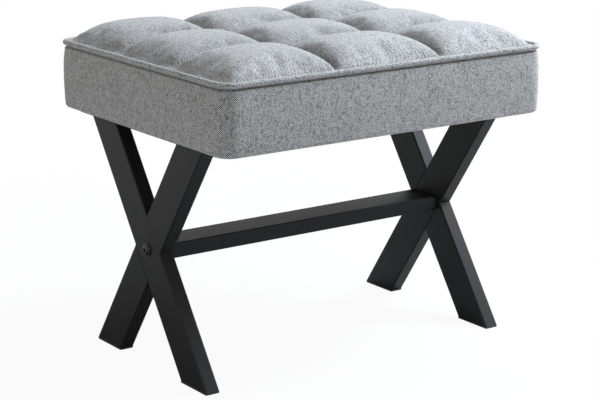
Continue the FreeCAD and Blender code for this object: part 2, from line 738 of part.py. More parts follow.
def side_wadding():
    """Wadding wrapped round the frame, the panel and the foam."""
    body = new_body("side_wadding")
    sketch = new_sketch(body, "ring", "XY_Plane", FRAME_BOTTOM)
    draw_seat_outline(sketch, BAND_WALL)
    draw_seat_outline(sketch, FRAME_MARGIN)
    pad(body, "wrap", sketch, "Sizes.rail_height + Sizes.panel_thickness + Sizes.foam_thickness")


def band_section(body):
    """The band's section at the front: a swelling wall, a rounded lower edge and the start of the hem."""
    sketch = new_sketch(body, "section", "YZ_Plane")
    outer = measure("-Sizes.seat_depth / 2")
    draw_in = measure("Sizes.band_draw_in")
    radius = measure("Sizes.band_bottom_radius")
    low = measure(HEM_BOTTOM)
    floor = measure(FRAME_BOTTOM)
    high = measure(FOAM_TOP)
    wall = measure(BAND_WALL)
    fold = measure(HEM_FOLD)
    swell_radius = measure(SWELL_RADIUS)
    lean = math.degrees(math.asin((high - low - radius) / 2 / swell_radius))
    centre = (outer + swell_radius, (high + low + radius) / 2)
    top = draw_line(sketch, (outer + wall, high), (outer + draw_in, high))
    swell = draw_arc(sketch, centre, swell_radius, 180 - lean, 180 + lean)
    turn = draw_arc(sketch, (outer + fold, low + radius), radius, 180, 270)
    hem_end = draw_line(sketch, (outer + fold, low), (outer + fold, floor))
    hem_top = draw_line(sketch, (outer + fold, floor), (outer + wall, floor))
    inside = draw_line(sketch, (outer + wall, floor), (outer + wall, high))
    curves = [top, swell, turn, hem_end, hem_top, inside]
    for curve, following in zip(curves, curves[1:] + curves[:1]):
        join(sketch, curve, 2, following, 1)
    face = "-Sizes.seat_depth / 2"
    hold_point(sketch, top, 1, f"{face} + {BAND_WALL}", FOAM_TOP)
    hold_point(sketch, swell, 1, f"{face} + Sizes.band_draw_in", FOAM_TOP)
    hold_point(sketch, turn, 1, f"{face} + Sizes.band_draw_in", f"{HEM_BOTTOM} + Sizes.band_bottom_radius")
    hold_point(sketch, hem_end, 1, f"{face} + {HEM_FOLD}", HEM_BOTTOM)
    hold_point(sketch, hem_top, 1, f"{face} + {HEM_FOLD}", FRAME_BOTTOM)
    hold_point(sketch, inside, 1, f"{face} + {BAND_WALL}", FRAME_BOTTOM)
    hold_value(sketch, "Radius", swell, SWELL_RADIUS)
    hold_value(sketch, "Radius", turn, "Sizes.band_bottom_radius")
    return sketch


def side_band():
    """The upholstered band: sides that swell between their edges and a hem turned in under the frame."""
    body = new_body("side_band")
    route = new_sketch(body, "route", "XY_Plane", HEM_BOTTOM)
    draw_seat_outline(route, "0")
    section = band_section(body)
    sweep(body, "wall", section, route)
    hem = new_sketch(body, "hem", "XY_Plane", HEM_BOTTOM)
    draw_seat_outline(hem, HEM_FOLD)
    draw_rectangle(hem, "Sizes.hem_width - Sizes.seat_length / 2", "Sizes.seat_length / 2 - Sizes.hem_width",
                   "Sizes.hem_width - Sizes.seat_depth / 2", "Sizes.seat_depth / 2 - Sizes.hem_width")
    pad(body, "hem_turn", hem, "Sizes.fabric_thickness")


def piping():
    """The covered cord sewn in along the top edge of the band."""
    body = new_body("piping")
    inset = "Sizes.piping_diameter / 2"
    route = new_sketch(body, "route", "XY_Plane", PIPING_HEIGHT)
    draw_seat_outline(route, inset)
    section = new_sketch(body, "section", "YZ_Plane")
    middle = f"{inset} - Sizes.seat_depth / 2"
    flats = f"Sizes.piping_diameter * cos({180 / PIPING_SIDES})"
    draw_flats(section, middle, PIPING_HEIGHT, flats, PIPING_SIDES)
    sweep(body, "cord", section, route)


def cell_fullness(place):
    """Share of the crown at a place in a cell, from one seam at -1 to the next at 1."""
    return round((1 - place ** 2) ** QUILT_FULLNESS, 4)


def quilt_section(body, name, station):
    """One cross-section of a column of cells: a flat base and a crown over each cell."""
    middle_of_column = f"{CELL_WIDTH} * {(1 - QUILT_COLUMNS) / 2}"
    sketch = new_sketch(body, name, "YZ_Plane", f"{middle_of_column} + {CELL_WIDTH} * {station / 2}")
    spare = f"(Sizes.quilt_crown - Sizes.quilt_seam_rise) * {cell_fullness(station)}"
    rise = f"(Sizes.quilt_seam_rise + {spare})"
    outline = [(f"-{QUILT_DEPTH} / 2", FOAM_TOP), (f"{QUILT_DEPTH} / 2", FOAM_TOP)]
    for row in range(QUILT_ROWS):
        middle = f"{CELL_DEPTH} * {(QUILT_ROWS - 1) / 2 - row}"
        for place in QUILT_STATIONS[:-1]:
            outline.append((f"{middle} - {CELL_DEPTH} * {place / 2}",
                            f"{SEAM_HEIGHT} + {rise} * {cell_fullness(place)}"))
    outline.append((f"-{QUILT_DEPTH} / 2", SEAM_HEIGHT))
    draw_polygon(sketch, outline)
    return sketch


def quilted_top():
    """The puffed top: three columns of three crowned cells, drawn down along the seams between them."""
    body = new_body("quilted_top")
    sections = []
    for number, station in enumerate(QUILT_STATIONS, start=1):
        sections.append(quilt_section(body, f"cells_{number}", station))
    document.recompute()
    column = body.newObject("PartDesign::AdditiveLoft", "column")
    column.Profile = sections[0]
    column.Sections = sections[1:]
    column.Ruled = True
    document.recompute()
    columns = body.newObject("PartDesign::LinearPattern", "columns")
    columns.Originals = [column]
    columns.Direction = (origin_feature(body, "X_Axis"), [""])
    columns.setExpression("Length", f"{CELL_WIDTH} * {QUILT_COLUMNS - 1}")
    columns.Occurrences = QUILT_COLUMNS
    body.Tip = columns
    document.recompute()
    trim = new_sketch(body, "trim", "XY_Plane", FOAM_TOP)
    draw_rounded_rectangle(trim, "2 * Sizes.seat_length", "2 * Sizes.seat_depth", "Sizes.corner_radius")
    draw_rounded_rectangle(trim, f"{QUILT_LENGTH} + Sizes.soft_gap", f"{QUILT_DEPTH} + Sizes.soft_gap",
                           "Sizes.corner_radius")
    cut(body, "rounded_corners", trim, both_ways=True)


def dust_cover():
    """The thin lining stapled under the seat, pierced by the plate bolts."""
    body = new_body("dust_cover")
    sketch = new_sketch(body, "outline", "XY_Plane", "Sizes.seat_underside")
    draw_seat_outline(sketch, "Sizes.dust_cover_margin")
    for across, along in plate_bolt_places():
        draw_circle(sketch, across, along, "Sizes.plate_bolt_diameter + Sizes.hole_clearance")
    pad(body, "lining", sketch, "Sizes.dust_cover_thickness")


def build():
    """Make every sub-part."""
    for side in ("left", "right"):
        through_leg(side)
        half_legs(side)
        mount_plate(side)
        spacer_bush(side)
        nut_plate(side)
        stretcher_bolt(side)
    foot_glide("left", "front", 1)
    foot_glide("left", "back", -1)
    foot_glide("right", "front", -1)
    foot_glide("right", "back", 1)
    stretcher()
    plate_washers()
    plate_bolts()
    tee_nuts()
    side_rail("front_rail", f"-{FRAME_DEPTH} / 2", 0)
    side_rail("back_rail", f"{FRAME_DEPTH} / 2", 180)
    end_rail("left_rail", f"-{FRAME_LENGTH} / 2", 0)
    end_rail("right_rail", f"{FRAME_LENGTH} / 2", 180)
    bearer("left_bearer", 0)
    bearer("right_bearer", 180)
    corner_block("front_left_corner_block", -1, -1, 0)
    corner_block("front_right_corner_block", 1, -1, 90)
    corner_block("back_right_corner_block", 1, 1, 180)
    corner_block("back_left_corner_block", -1, 1, 270)
    frame_tenons()
    slab("seat_panel", FRAME_TOP, "Sizes.panel_thickness")
    slab("seat_foam", PANEL_TOP, "Sizes.foam_thickness")
    side_wadding()
    side_band()
    piping()
    quilted_top()
    dust_cover()
    document.recompute()


def check():
    """Stop if anything failed to build or a sub-part has no sound solid."""
    for item in document.Objects:
        if "Invalid" in item.State or "Error" in item.State:
            raise RuntimeError(f"{item.Label} failed: {item.State}")
    for part in sub_parts:
        if part.Shape.isNull() or not part.Shape.isValid() or not part.Shape.Solids:
            raise RuntimeError(f"{part.Label} has no sound solid")


def write():
    """Write each sub-part to its own file."""
    os.makedirs("parts", exist_ok=True)
    for part in sub_parts:
        part.Shape.exportStep(f"parts/{part.Label}.step")


fill_sheet()
build()
check()
write()
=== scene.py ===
import math

import bmesh
import bpy
from bpy.props import FloatProperty, FloatVectorProperty, PointerProperty
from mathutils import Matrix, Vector, noise


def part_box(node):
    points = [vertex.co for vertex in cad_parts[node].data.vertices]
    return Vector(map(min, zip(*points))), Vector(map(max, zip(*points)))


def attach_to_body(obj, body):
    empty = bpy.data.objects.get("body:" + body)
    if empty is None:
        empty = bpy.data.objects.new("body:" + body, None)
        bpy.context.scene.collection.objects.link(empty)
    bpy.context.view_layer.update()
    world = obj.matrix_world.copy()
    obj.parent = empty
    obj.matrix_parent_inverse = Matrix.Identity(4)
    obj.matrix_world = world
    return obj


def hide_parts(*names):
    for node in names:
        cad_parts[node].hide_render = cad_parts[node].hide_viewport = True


# Footstool: a biscuit-quilted linen seat with a piped edge, on two coated steel X-frames.
# Lengths are in metres, in the frame of the solids: +X along the stretcher, -Y the front, +Z up.

bl_info = {
    "name": "Quilted Footstool",
    "version": (1, 0, 0),
    "blender": (4, 5, 0),
    "location": "View3D > Sidebar > Footstool",
    "description": "Dresses the footstool in quilted linen, coated steel and its fixings",
    "category": "Add Mesh",
}

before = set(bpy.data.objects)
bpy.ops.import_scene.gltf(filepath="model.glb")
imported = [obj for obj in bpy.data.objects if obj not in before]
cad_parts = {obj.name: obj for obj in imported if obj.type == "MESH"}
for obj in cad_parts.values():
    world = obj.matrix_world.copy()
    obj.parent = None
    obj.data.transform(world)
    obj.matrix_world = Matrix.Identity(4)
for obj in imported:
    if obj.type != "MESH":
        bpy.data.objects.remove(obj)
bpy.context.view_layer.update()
MM = 0.001

SEAT_LOW, SEAT_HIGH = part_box("side_band")
PIPING_LOW, PIPING_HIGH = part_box("piping")
QUILT_LOW, QUILT_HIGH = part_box("quilted_top")
LINING_LOW, LINING_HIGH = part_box("dust_cover")
PLATE_LOW, PLATE_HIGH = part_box("left_mount_plate")
SEAT_X = PIPING_HIGH.x
SEAT_Y = PIPING_HIGH.y
SEAT_CORNER = 22 * MM

COLUMNS = 3
ROWS = 3
CELL_STEPS_X = 26
CELL_STEPS_Y = 22
CELL_WEAVE = 1.3
FILL_STEPS = 20

SIDES = ("left", "right")
ENDS = ("front", "back")
WHITE = (1.0, 1.0, 1.0, 1.0)

LAMP_TARGET = Vector((0.0, 0.0, 0.25))
# Name, place, width in metres, power in watts and colour of each lamp
LAMPS = (
    ("top_softbox", (1.35, -0.35, 1.75), 1.2, 95.0, (0.84, 0.91, 1.0)),
    ("front_softbox", (1.8, -1.9, 1.0), 1.4, 12.0, (1.0, 0.98, 0.97)),
    ("left_softbox", (-1.9, 0.2, 0.8), 1.2, 7.5, (1.0, 0.97, 0.93)),
)


# Settings that a user would change


class QuiltSettings(bpy.types.PropertyGroup):
    """Shape of the quilted top."""

    crown: FloatProperty(
        name="Crown", description="Rise of a cell above its seams before it is filled",
        default=24 * MM, unit="LENGTH")
    seam_rise: FloatProperty(
        name="Seam rise", description="Height of the seams above the foot of the top",
        default=4.5 * MM, unit="LENGTH")
    fullness: FloatProperty(
        name="Fullness", description="Power of the cell's section: lower is fuller",
        default=0.52, min=0.2, max=1.0)
    edge_fullness: FloatProperty(
        name="Edge fullness", description="The same power beside the piping",
        default=0.66, min=0.2, max=1.0)
    breadth: FloatProperty(
        name="Breadth", description="Power of the cell's plan: higher is flatter on top", default=1.9)
    pressure: FloatProperty(
        name="Pressure", description="How hard the filling pushes the cover out", default=4.0)
    reach: FloatProperty(
        name="Reach", description="Furthest that the filling may move the cover",
        default=5 * MM, unit="LENGTH")
    slack: FloatProperty(
        name="Slack", description="Share of spare cloth in a cell", default=0.03)
    margin: FloatProperty(
        name="End margin", description="Flat cloth between the piping and the cells at the seat's two ends",
        default=12 * MM, unit="LENGTH")
    # Painted shade: the linen's colour is darkened towards its dark thread down in the channels, standing in
    # for the shade there.
    channel: FloatProperty(
        name="Channel shade", description="How much darker the linen is down in the channels",
        default=0.42, min=0, max=1)
    gather: FloatProperty(
        name="Gathers", description="Height of the small gathers along the seams",
        default=0.18 * MM, unit="LENGTH")
    crease: FloatProperty(
        name="Crease", description="How far the thread draws a seam down",
        default=2.0 * MM, unit="LENGTH")
    stitch_pitch: FloatProperty(
        name="Stitch pitch", description="Distance from stitch to stitch",
        default=4.2 * MM, unit="LENGTH")
    stitch_length: FloatProperty(
        name="Stitch length", description="Length of one stitch", default=3.3 * MM, unit="LENGTH")


class CoverSettings(bpy.types.PropertyGroup):
    """Shape of the band, the piping and the lining."""

    draw_in: FloatProperty(
        name="Draw-in", description="How far the seam under the piping draws the band in",
        default=2.4 * MM, unit="LENGTH")
    seam_gap: FloatProperty(
        name="Seam gap", description="Height of the open seam between the band and the piping",
        default=2.4 * MM, unit="LENGTH")
    swell: FloatProperty(
        name="Swell", description="How far the band swells between its edges",
        default=1.2 * MM, unit="LENGTH")
    bottom_radius: FloatProperty(
        name="Bottom rounding", description="Rounding of the band's lower edge",
        default=6.0 * MM, unit="LENGTH")
    cloth: FloatProperty(
        name="Cloth thickness", description="Thickness of the cover", default=1.2 * MM, unit="LENGTH")
    hem: FloatProperty(
        name="Hem", description="Width of the hem turned in under the seat", default=20 * MM, unit="LENGTH")
    piping: FloatProperty(
        name="Piping", description="Diameter of the covered cord", default=7 * MM, unit="LENGTH")
    staple_pitch: FloatProperty(
        name="Staple pitch", description="Distance from staple to staple", default=38 * MM, unit="LENGTH")
    staple_width: FloatProperty(
        name="Staple width", description="Length of a staple's crown", default=10 * MM, unit="LENGTH")


class FinishSettings(bpy.types.PropertyGroup):
    """Colours and scales of the finishes."""

    thread_pitch: FloatProperty(
        name="Thread pitch", description="Distance between the threads of the linen",
        default=1.35 * MM, unit="LENGTH")
    two_tone: FloatProperty(
        name="Two tone", description="How much paler the threads of one way are than the other",
        default=0.38, min=0, max=1)
    thread_dark: FloatVectorProperty(
        name="Dark thread", description="Darkest thread of the linen", subtype="COLOR",
        default=(0.045, 0.045, 0.0445), min=0, max=1)
    thread_mid: FloatVectorProperty(
        name="Middle thread", description="Usual thread of the linen", subtype="COLOR",
        default=(0.268, 0.267, 0.264), min=0, max=1)
    thread_light: FloatVectorProperty(
        name="Light thread", description="Palest thread of the linen", subtype="COLOR",
        default=(0.72, 0.718, 0.712), min=0, max=1)
    coat: FloatVectorProperty(
        name="Steel coat", description="Colour of the legs' powder coat", subtype="COLOR",
        default=(0.009, 0.009, 0.0093), min=0, max=1)
    coat_roughness: FloatProperty(
        name="Coat roughness", description="Roughness of the powder coat", default=0.48, min=0, max=1)


class StageSettings(bpy.types.PropertyGroup):
    """Camera and light."""

    azimuth: FloatProperty(
        name="Azimuth", description="Direction of the camera round the stool, in degrees", default=-35.184)
    elevation: FloatProperty(
        name="Elevation", description="Height of the camera above the horizon, in degrees", default=14.348)
    place: FloatVectorProperty(
        name="Place", description="Where the camera stands", subtype="XYZ", unit="LENGTH",
        default=(-1.37507, -1.95134, 0.79679))
    lens: FloatProperty(
        name="Lens", description="Focal length in millimetres", default=110.4)
    ambient: FloatProperty(
        name="Ambient", description="Strength of the even light all round", default=0.29)
    floor: FloatVectorProperty(
        name="Floor", description="Colour of the floor", subtype="COLOR", default=(0.6, 0.6, 0.6),
        min=0, max=1)
    floor_glow: FloatProperty(
        name="Floor glow", description="Share of plain white in the floor that the camera sees",
        default=0.94, min=0, max=1)


# Node trees, written as expressions


class Wire:
    """The output of a node. Arithmetic on it adds Math nodes to its tree."""

    def __init__(self, web, socket):
        self.web = web
        self.socket = socket

    def math(self, operation, *values):
        """Add a Math node for some values."""
        return self.web.add("ShaderNodeMath", {"operation": operation}, dict(enumerate(values)))

    def __add__(self, other):
        return self.math("ADD", self, other)

    def __radd__(self, other):
        return self.math("ADD", other, self)

    def __sub__(self, other):
        return self.math("SUBTRACT", self, other)

    def __rsub__(self, other):
        return self.math("SUBTRACT", other, self)

    def __mul__(self, other):
        return self.math("MULTIPLY", self, other)

    def __rmul__(self, other):
        return self.math("MULTIPLY", other, self)

    def __truediv__(self, other):
        return self.math("DIVIDE", self, other)

    def __pow__(self, other):
        return self.math("POWER", self, other)

    def __mod__(self, other):
        return self.math("FLOORED_MODULO", self, other)

    def whole(self):
        """The whole number at or below the value."""
        return self.math("FLOOR", self)

    def part(self):
        """What is left above the whole number."""
        return self.math("FRACT", self)

    def arch(self):
        """A half wave over each unit of the value."""
        return self.math("SINE", self.part() * math.pi)

    def clamp(self):
        """The value held between 0 and 1."""
        return self.web.add("ShaderNodeClamp", None, {"Value": self})


class Web:
    """A node tree that is built from Python."""

    def __init__(self, tree):
        self.tree = tree

    def feed(self, socket, value):
        """Give a socket a wire or a plain value."""
        if isinstance(value, Wire):
            self.tree.links.new(value.socket, socket)
        else:
            socket.default_value = value

    def add(self, kind, settings=None, values=None, output=0):
        """Add a node: its type, its settings, then the values or wires of its sockets."""
        node = self.tree.nodes.new(kind)
        for name, setting in (settings or {}).items():
            if name == "stops":
                self.set_stops(node.color_ramp, setting)
            else:
                setattr(node, name, setting)
        for name, value in (values or {}).items():
            self.feed(node.inputs[name], value)
        return Wire(self, node.outputs[output]) if node.outputs else None

    def set_stops(self, ramp, stops):
        """Give a colour ramp its stops."""
        while len(ramp.elements) < len(stops):
            ramp.elements.new(0.5)
        for element, (place, colour) in zip(ramp.elements, stops):
            element.position = place
            element.color = (*colour, 1.0)

    def mix(self, share, first, second):
        """Blend two colours."""
        return self.add("ShaderNodeMix", {"data_type": "RGBA"},
                        {0: share, 6: self.colour(first), 7: self.colour(second)}, 2)

    def colour(self, value):
        """A colour as a socket takes it."""
        return value if isinstance(value, Wire) else (*value, 1.0)

    def ramp(self, value, *stops):
        """Colours along a value."""
        return self.add("ShaderNodeValToRGB", {"stops": stops}, {"Fac": value})

    def join(self, x, y, z=0.0):
        """Put three values together as a place."""
        return self.add("ShaderNodeCombineXYZ", None, {0: x, 1: y, 2: z})

    def split(self, place):
        """The three values of a place."""
        node = self.tree.nodes.new("ShaderNodeSeparateXYZ")
        self.feed(node.inputs[0], place)
        return [Wire(self, socket) for socket in node.outputs]

    def noise(self, place, scale, detail=2.0, roughness=0.5):
        """Soft noise at a place."""
        return self.add("ShaderNodeTexNoise", None, {
            "Vector": place, "Scale": scale, "Detail": detail, "Roughness": roughness})

    def here(self):
        """Place on the piece, in metres."""
        return self.add("ShaderNodeTexCoord", None, None, "Object")

    def bump(self, height, strength, distance):
        """Small relief from a height."""
        return self.add("ShaderNodeBump", None, {
            "Height": height, "Strength": strength, "Distance": distance})


class Finish(Web):
    """A material with one surface shader."""

    def __init__(self, name, **constants):
        self.material = bpy.data.materials.new(name)
        self.material.use_nodes = True
        super().__init__(self.material.node_tree)
        self.shader = self.tree.nodes["Principled BSDF"]
        self.give(**constants)

    def give(self, **values):
        """Set sockets of the shader, and return the material."""
        for socket, value in values.items():
            self.feed(self.shader.inputs[socket.replace("_", " ")], value)
        return self.material


# Finishes


def linen():
    """Grey melange linen in plain weave, on the piece's own weave map, with painted shade between the threads
    and down in the channels.
    """
    look = bpy.context.scene.footstool_finish
    shade = bpy.context.scene.footstool_quilt.channel
    wander_share = 0.06
    slub_share = 0.45
    fleck_share = 0.24
    patch_share = 0.05
    base_tone = 0.15
    painted_gap_shade = 0.32
    finish = Finish("melange_linen", Sheen_Weight=0.22, Sheen_Roughness=0.45, Specular_IOR_Level=0.25)
    cloth = finish.add("ShaderNodeUVMap", {"uv_map": "weave"})
    wander = (finish.noise(cloth, 140.0, 1.0) - 0.5) * wander_share
    across, along, _ = finish.split(cloth)
    warp = across / look.thread_pitch + wander
    weft = along / look.thread_pitch + wander
    over = (warp.whole() + weft.whole()) % 2.0
    warp_tone = finish.noise(finish.join(warp.whole() * 7.13, weft * 0.13), 1.0, 1.0)
    weft_tone = finish.noise(finish.join(warp * 0.13, weft.whole() * 5.77, 9.0), 1.0, 1.0)
    warp_height = warp.arch() ** 0.5 * (weft.arch() * 0.6 + 0.4)
    weft_height = weft.arch() ** 0.5 * (warp.arch() * 0.6 + 0.4)
    fleck = finish.add("ShaderNodeTexWhiteNoise", {"noise_dimensions": "2D"},
                       {"Vector": finish.join(warp.whole(), weft.whole())}, "Value")
    lean = (over - 0.5) * look.two_tone
    slub = over * warp_tone + (1 - over) * weft_tone
    tone = slub * slub_share + fleck * fleck_share + lean + base_tone
    height = over * warp_height + (1 - over) * weft_height
    patch = finish.noise(cloth, 26.0, 2.0) * patch_share - patch_share / 2
    yarn = finish.ramp(tone + patch, (0.28, look.thread_dark), (0.50, look.thread_mid),
                       (0.72, look.thread_light))
    # Painted shade: where a thread dips, its colour is darkened towards the dark thread, standing in for the
    # shade between threads.
    gap = finish.mix(1.0 - height, yarn, look.thread_dark)
    weave = finish.mix(painted_gap_shade, yarn, gap)
    # Painted shade: the channel mask darkens the linen towards its dark thread beside the seams.
    channel = finish.add("ShaderNodeAttribute", {"attribute_name": "channel"}, None, "Fac")
    return finish.give(
        Base_Color=finish.mix(channel * shade, weave, look.thread_dark),
        Roughness=0.95 - tone * 0.12,
        Normal=finish.bump(height, 0.4, 0.3 * MM))


def thread():
    """Grey sewing thread."""
    finish = Finish("grey_thread", Specular_IOR_Level=0.3)
    across, along, up = finish.split(finish.here())
    twist = ((across + along) * 900.0 + up * 600.0).arch()
    return finish.give(
        Base_Color=finish.mix(twist, (0.12, 0.12, 0.125), (0.26, 0.262, 0.27)),
        Roughness=0.8 - twist * 0.2)


def coated_steel():
    """Black powder coat with a fine orange-peel surface and scuffs near the floor."""
    look = bpy.context.scene.footstool_finish
    finish = Finish("black_powder_coat", Specular_IOR_Level=0.16)
    scuff_height = 0.12
    place = finish.here()
    peel = finish.noise(place, 900.0, 2.0)
    cloud = finish.noise(place, 14.0, 3.0)
    _, _, up = finish.split(place)
    low = (1.0 - up / scuff_height).clamp()
    scuff = ((finish.noise(place, 160.0, 6.0, 0.7) - 0.6) * 6.0).clamp() * low
    dark = tuple(0.8 * part for part in look.coat)
    pale = tuple(1.3 * part for part in look.coat)
    colour = finish.mix(cloud, dark, pale)
    return finish.give(
        Base_Color=finish.mix(scuff * 0.5, colour, (0.06, 0.06, 0.06)),
        Roughness=peel * 0.10 + cloud * 0.08 + (look.coat_roughness - 0.09),
        Normal=finish.bump(peel, 0.12, 0.2 * MM))


def dark_bolt():
    """Blackened bolt steel with worn high spots."""
    finish = Finish("black_bolt_steel", Specular_IOR_Level=0.5)
    wear = ((finish.noise(finish.here(), 700.0, 5.0, 0.7) - 0.58) * 5.0).clamp()
    return finish.give(
        Base_Color=finish.mix(wear, (0.022, 0.022, 0.024), (0.12, 0.12, 0.125)),
        Metallic=wear * 0.3 + 0.55,
        Roughness=0.42 - wear * 0.1)


def zinc():
    """Zinc-plated steel with cloudy patches."""
    finish = Finish("zinc_plate", Metallic=0.95)
    cloud = finish.noise(finish.here(), 260.0, 4.0, 0.6)
    return finish.give(
        Base_Color=finish.mix(cloud, (0.42, 0.43, 0.44), (0.62, 0.63, 0.62)),
        Roughness=cloud * 0.25 + 0.22)


def glide_plastic():
    """Black moulded plastic with a fine texture, paler where it is rubbed."""
    finish = Finish("black_glide_plastic", Specular_IOR_Level=0.45)
    rub_height = 2 * MM
    place = finish.here()
    grain = finish.noise(place, 1500.0, 2.0)
    _, _, up = finish.split(place)
    rub = (1.0 - up / rub_height).clamp() * finish.noise(place, 300.0, 4.0)
    return finish.give(
        Base_Color=finish.mix(rub * 0.6, (0.012, 0.012, 0.012), (0.06, 0.06, 0.06)),
        Roughness=grain * 0.15 + 0.5,
        Normal=finish.bump(grain, 0.2, 0.15 * MM))


def timber(name, pale, dark, along):
    """Planed timber with its grain along one axis."""
    finish = Finish(name, Specular_IOR_Level=0.3)
    stretch = 0.06
    x, y, z = finish.split(finish.here())
    place = finish.join(x * stretch, y, z) if along == "X" else finish.join(x, y * stretch, z)
    figure = finish.noise(place, 55.0, 4.0, 0.6)
    rings = (figure * 9.0).arch()
    pores = finish.noise(place, 700.0, 2.0)
    grain = rings * 0.65 + pores * 0.35
    return finish.give(
        Base_Color=finish.mix(grain, dark, pale),
        Roughness=0.72 - grain * 0.12,
        Normal=finish.bump(grain, 0.15, 0.2 * MM))


def plywood():
    """Birch plywood: plies on edge, figure on the face."""
    finish = Finish("birch_plywood", Specular_IOR_Level=0.3)
    ply_thickness = 1.5 * MM
    x, y, z = finish.split(finish.here())
    ply = (z / ply_thickness).whole() % 2.0
    figure = finish.noise(finish.join(x * 0.08, y, z), 60.0, 4.0)
    tone = ply * 0.35 + figure * 0.65
    return finish.give(
        Base_Color=finish.mix(tone, (0.42, 0.27, 0.14), (0.70, 0.53, 0.33)),
        Roughness=0.75 - figure * 0.1)


def open_foam():
    """Pale open-cell foam."""
    finish = Finish("seat_foam_cells", Specular_IOR_Level=0.2)
    cells = finish.add("ShaderNodeTexVoronoi", None, {"Vector": finish.here(), "Scale": 900.0}, "Distance")
    return finish.give(
        Base_Color=finish.mix(cells, (0.45, 0.40, 0.28), (0.80, 0.74, 0.56)),
        Roughness=0.95 - cells * 0.1,
        Normal=finish.bump(cells, 0.4, 0.5 * MM))


def fibre_wadding():
    """White polyester wadding."""
    finish = Finish("white_wadding", Specular_IOR_Level=0.2)
    fibres = finish.noise(finish.here(), 500.0, 8.0, 0.75)
    return finish.give(
        Base_Color=finish.mix(fibres, (0.62, 0.62, 0.60), (0.85, 0.85, 0.83)),
        Roughness=0.98 - fibres * 0.1,
        Normal=finish.bump(fibres, 0.5, 0.6 * MM))


def lining_cloth():
    """Black non-woven lining with a pressed pattern of small dots."""
    finish = Finish("lining_felt", Specular_IOR_Level=0.25)
    place = finish.here()
    x, y, _ = finish.split(place)
    dot_pitch = 2.4 * MM
    dots = (x / dot_pitch).arch() * (y / dot_pitch).arch()
    fibres = finish.noise(place, 420.0, 6.0, 0.7)
    return finish.give(
        Base_Color=finish.mix(fibres, (0.008, 0.008, 0.009), (0.035, 0.035, 0.037)),
        Roughness=fibres * 0.2 + 0.72,
        Normal=finish.bump(dots * 0.6 + fibres * 0.4, 0.35, 0.25 * MM))


def made_once(name, maker, *values):
    """The material of this name, made on first use."""
    found = bpy.data.materials.get(name)
    return found if found else maker(*values)


def linen_finish():
    """The seat's linen."""
    return made_once("melange_linen", linen)


def dress(nodes, material):
    """Give some solids a material."""
    for name in nodes:
        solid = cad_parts[name]
        if not solid.material_slots:
            solid.data.materials.append(material)
        for slot in solid.material_slots:
            slot.material = material


# Pieces and meshes


def new_object(name, data):
    """Put a mesh, a lamp or a camera into the scene."""
    item = bpy.data.objects.new(name, data)
    bpy.context.scene.collection.objects.link(item)
    return item


def new_piece(name, points, faces, material=None):
    """Make an object from points and faces, smooth all over."""
    mesh = bpy.data.meshes.new(name)
    mesh.from_pydata(points, [], faces)
    mesh.update()
    mesh.shade_smooth()
    if material:
        mesh.materials.append(material)
    return new_object(name, mesh)


def new_path(name, lines):
    """Make an object of bare edges along one or more lines of points."""
    points = []
    edges = []
    for line in lines:
        first = len(points)
        points.extend(line)
        edges.extend((first + step, first + step + 1) for step in range(len(line) - 1))
    mesh = bpy.data.meshes.new(name)
    mesh.from_pydata(points, edges, [])
    return new_object(name, mesh)


def attach(piece, slot, *nodes):
    """Let a piece ride on the stool and hide the solids that it stands for. The name of its finish is not
    used.
    """
    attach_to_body(piece, "root")
    if nodes:
        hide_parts(*nodes)


def bake_modifiers(piece):
    """Turn a piece with its modifiers into a plain mesh."""
    graph = bpy.context.evaluated_depsgraph_get()
    evaluated = piece.evaluated_get(graph)
    mesh = bpy.data.meshes.new_from_object(evaluated, preserve_all_data_layers=True, depsgraph=graph)
    piece.modifiers.clear()
    piece.data = mesh
    mesh.name = piece.name


def face_outward(mesh):
    """Turn the faces of a closed mesh outwards."""
    shell = bmesh.new()
    shell.from_mesh(mesh)
    bmesh.ops.recalc_face_normals(shell, faces=shell.faces)
    shell.to_mesh(mesh)
    shell.free()
    mesh.shade_smooth()


def grid_faces(rows, columns, rows_closed=False, columns_closed=False, flipped=False):
    """Faces between the points of a grid, row after row. A closed way joins its last points to its first."""
    faces = []
    for row in range(rows if rows_closed else rows - 1):
        here = row * columns
        following = (row + 1) % rows * columns
        for column in range(columns if columns_closed else columns - 1):
            after = (column + 1) % columns
            others = (here + after, following + after, following + column)
            faces.append((here + column, *(reversed(others) if flipped else others)))
    return faces


def set_weave(mesh, places):
    """Lay the weave map on a mesh, from one place in metres for each face corner."""
    layer = mesh.uv_layers.new(name="weave")
    for corner, place in zip(layer.data, places):
        corner.uv = place


def outline(spacing=7 * MM, corner_steps=12):
    """Walk round the seat's rounded outline: anchor, outward direction and distance of each stop."""
    radius = SEAT_CORNER
    stops = []
    walked = 0.0
    side_x = SEAT_X - radius
    side_y = SEAT_Y - radius
    sides = (
        (Vector((-side_x, -side_y)), Vector((side_x, -side_y)), Vector((0, -1))),
        (Vector((side_x, -side_y)), Vector((side_x, side_y)), Vector((1, 0))),
        (Vector((side_x, side_y)), Vector((-side_x, side_y)), Vector((0, 1))),
        (Vector((-side_x, side_y)), Vector((-side_x, -side_y)), Vector((-1, 0))),
    )
    for start, end, outward in sides:
        length = (end - start).length
        steps = round(length / spacing)
        for step in range(steps):
            share = step / steps
            stops.append((start.lerp(end, share), outward.copy(), walked + share * length))
        walked += length
        arc = math.pi / 2 * radius
        turn = math.atan2(outward.y, outward.x)
        for step in range(corner_steps):
            share = step / corner_steps
            angle = turn + share * math.pi / 2
            stops.append((end, Vector((math.cos(angle), math.sin(angle))), walked + share * arc))
        walked += arc
    return stops, walked


def round_points(stops, profile, ripple=None):
    """The points of a profile of (inset, height) at each stop round the seat."""
    points = []
    for anchor, outward, distance in stops:
        for inset, height in profile:
            lift, out = ripple(distance, inset, height) if ripple else (0.0, 0.0)
            flat = anchor + outward * (SEAT_CORNER - inset + out)
            points.append((flat.x, flat.y, height + lift))
    return points


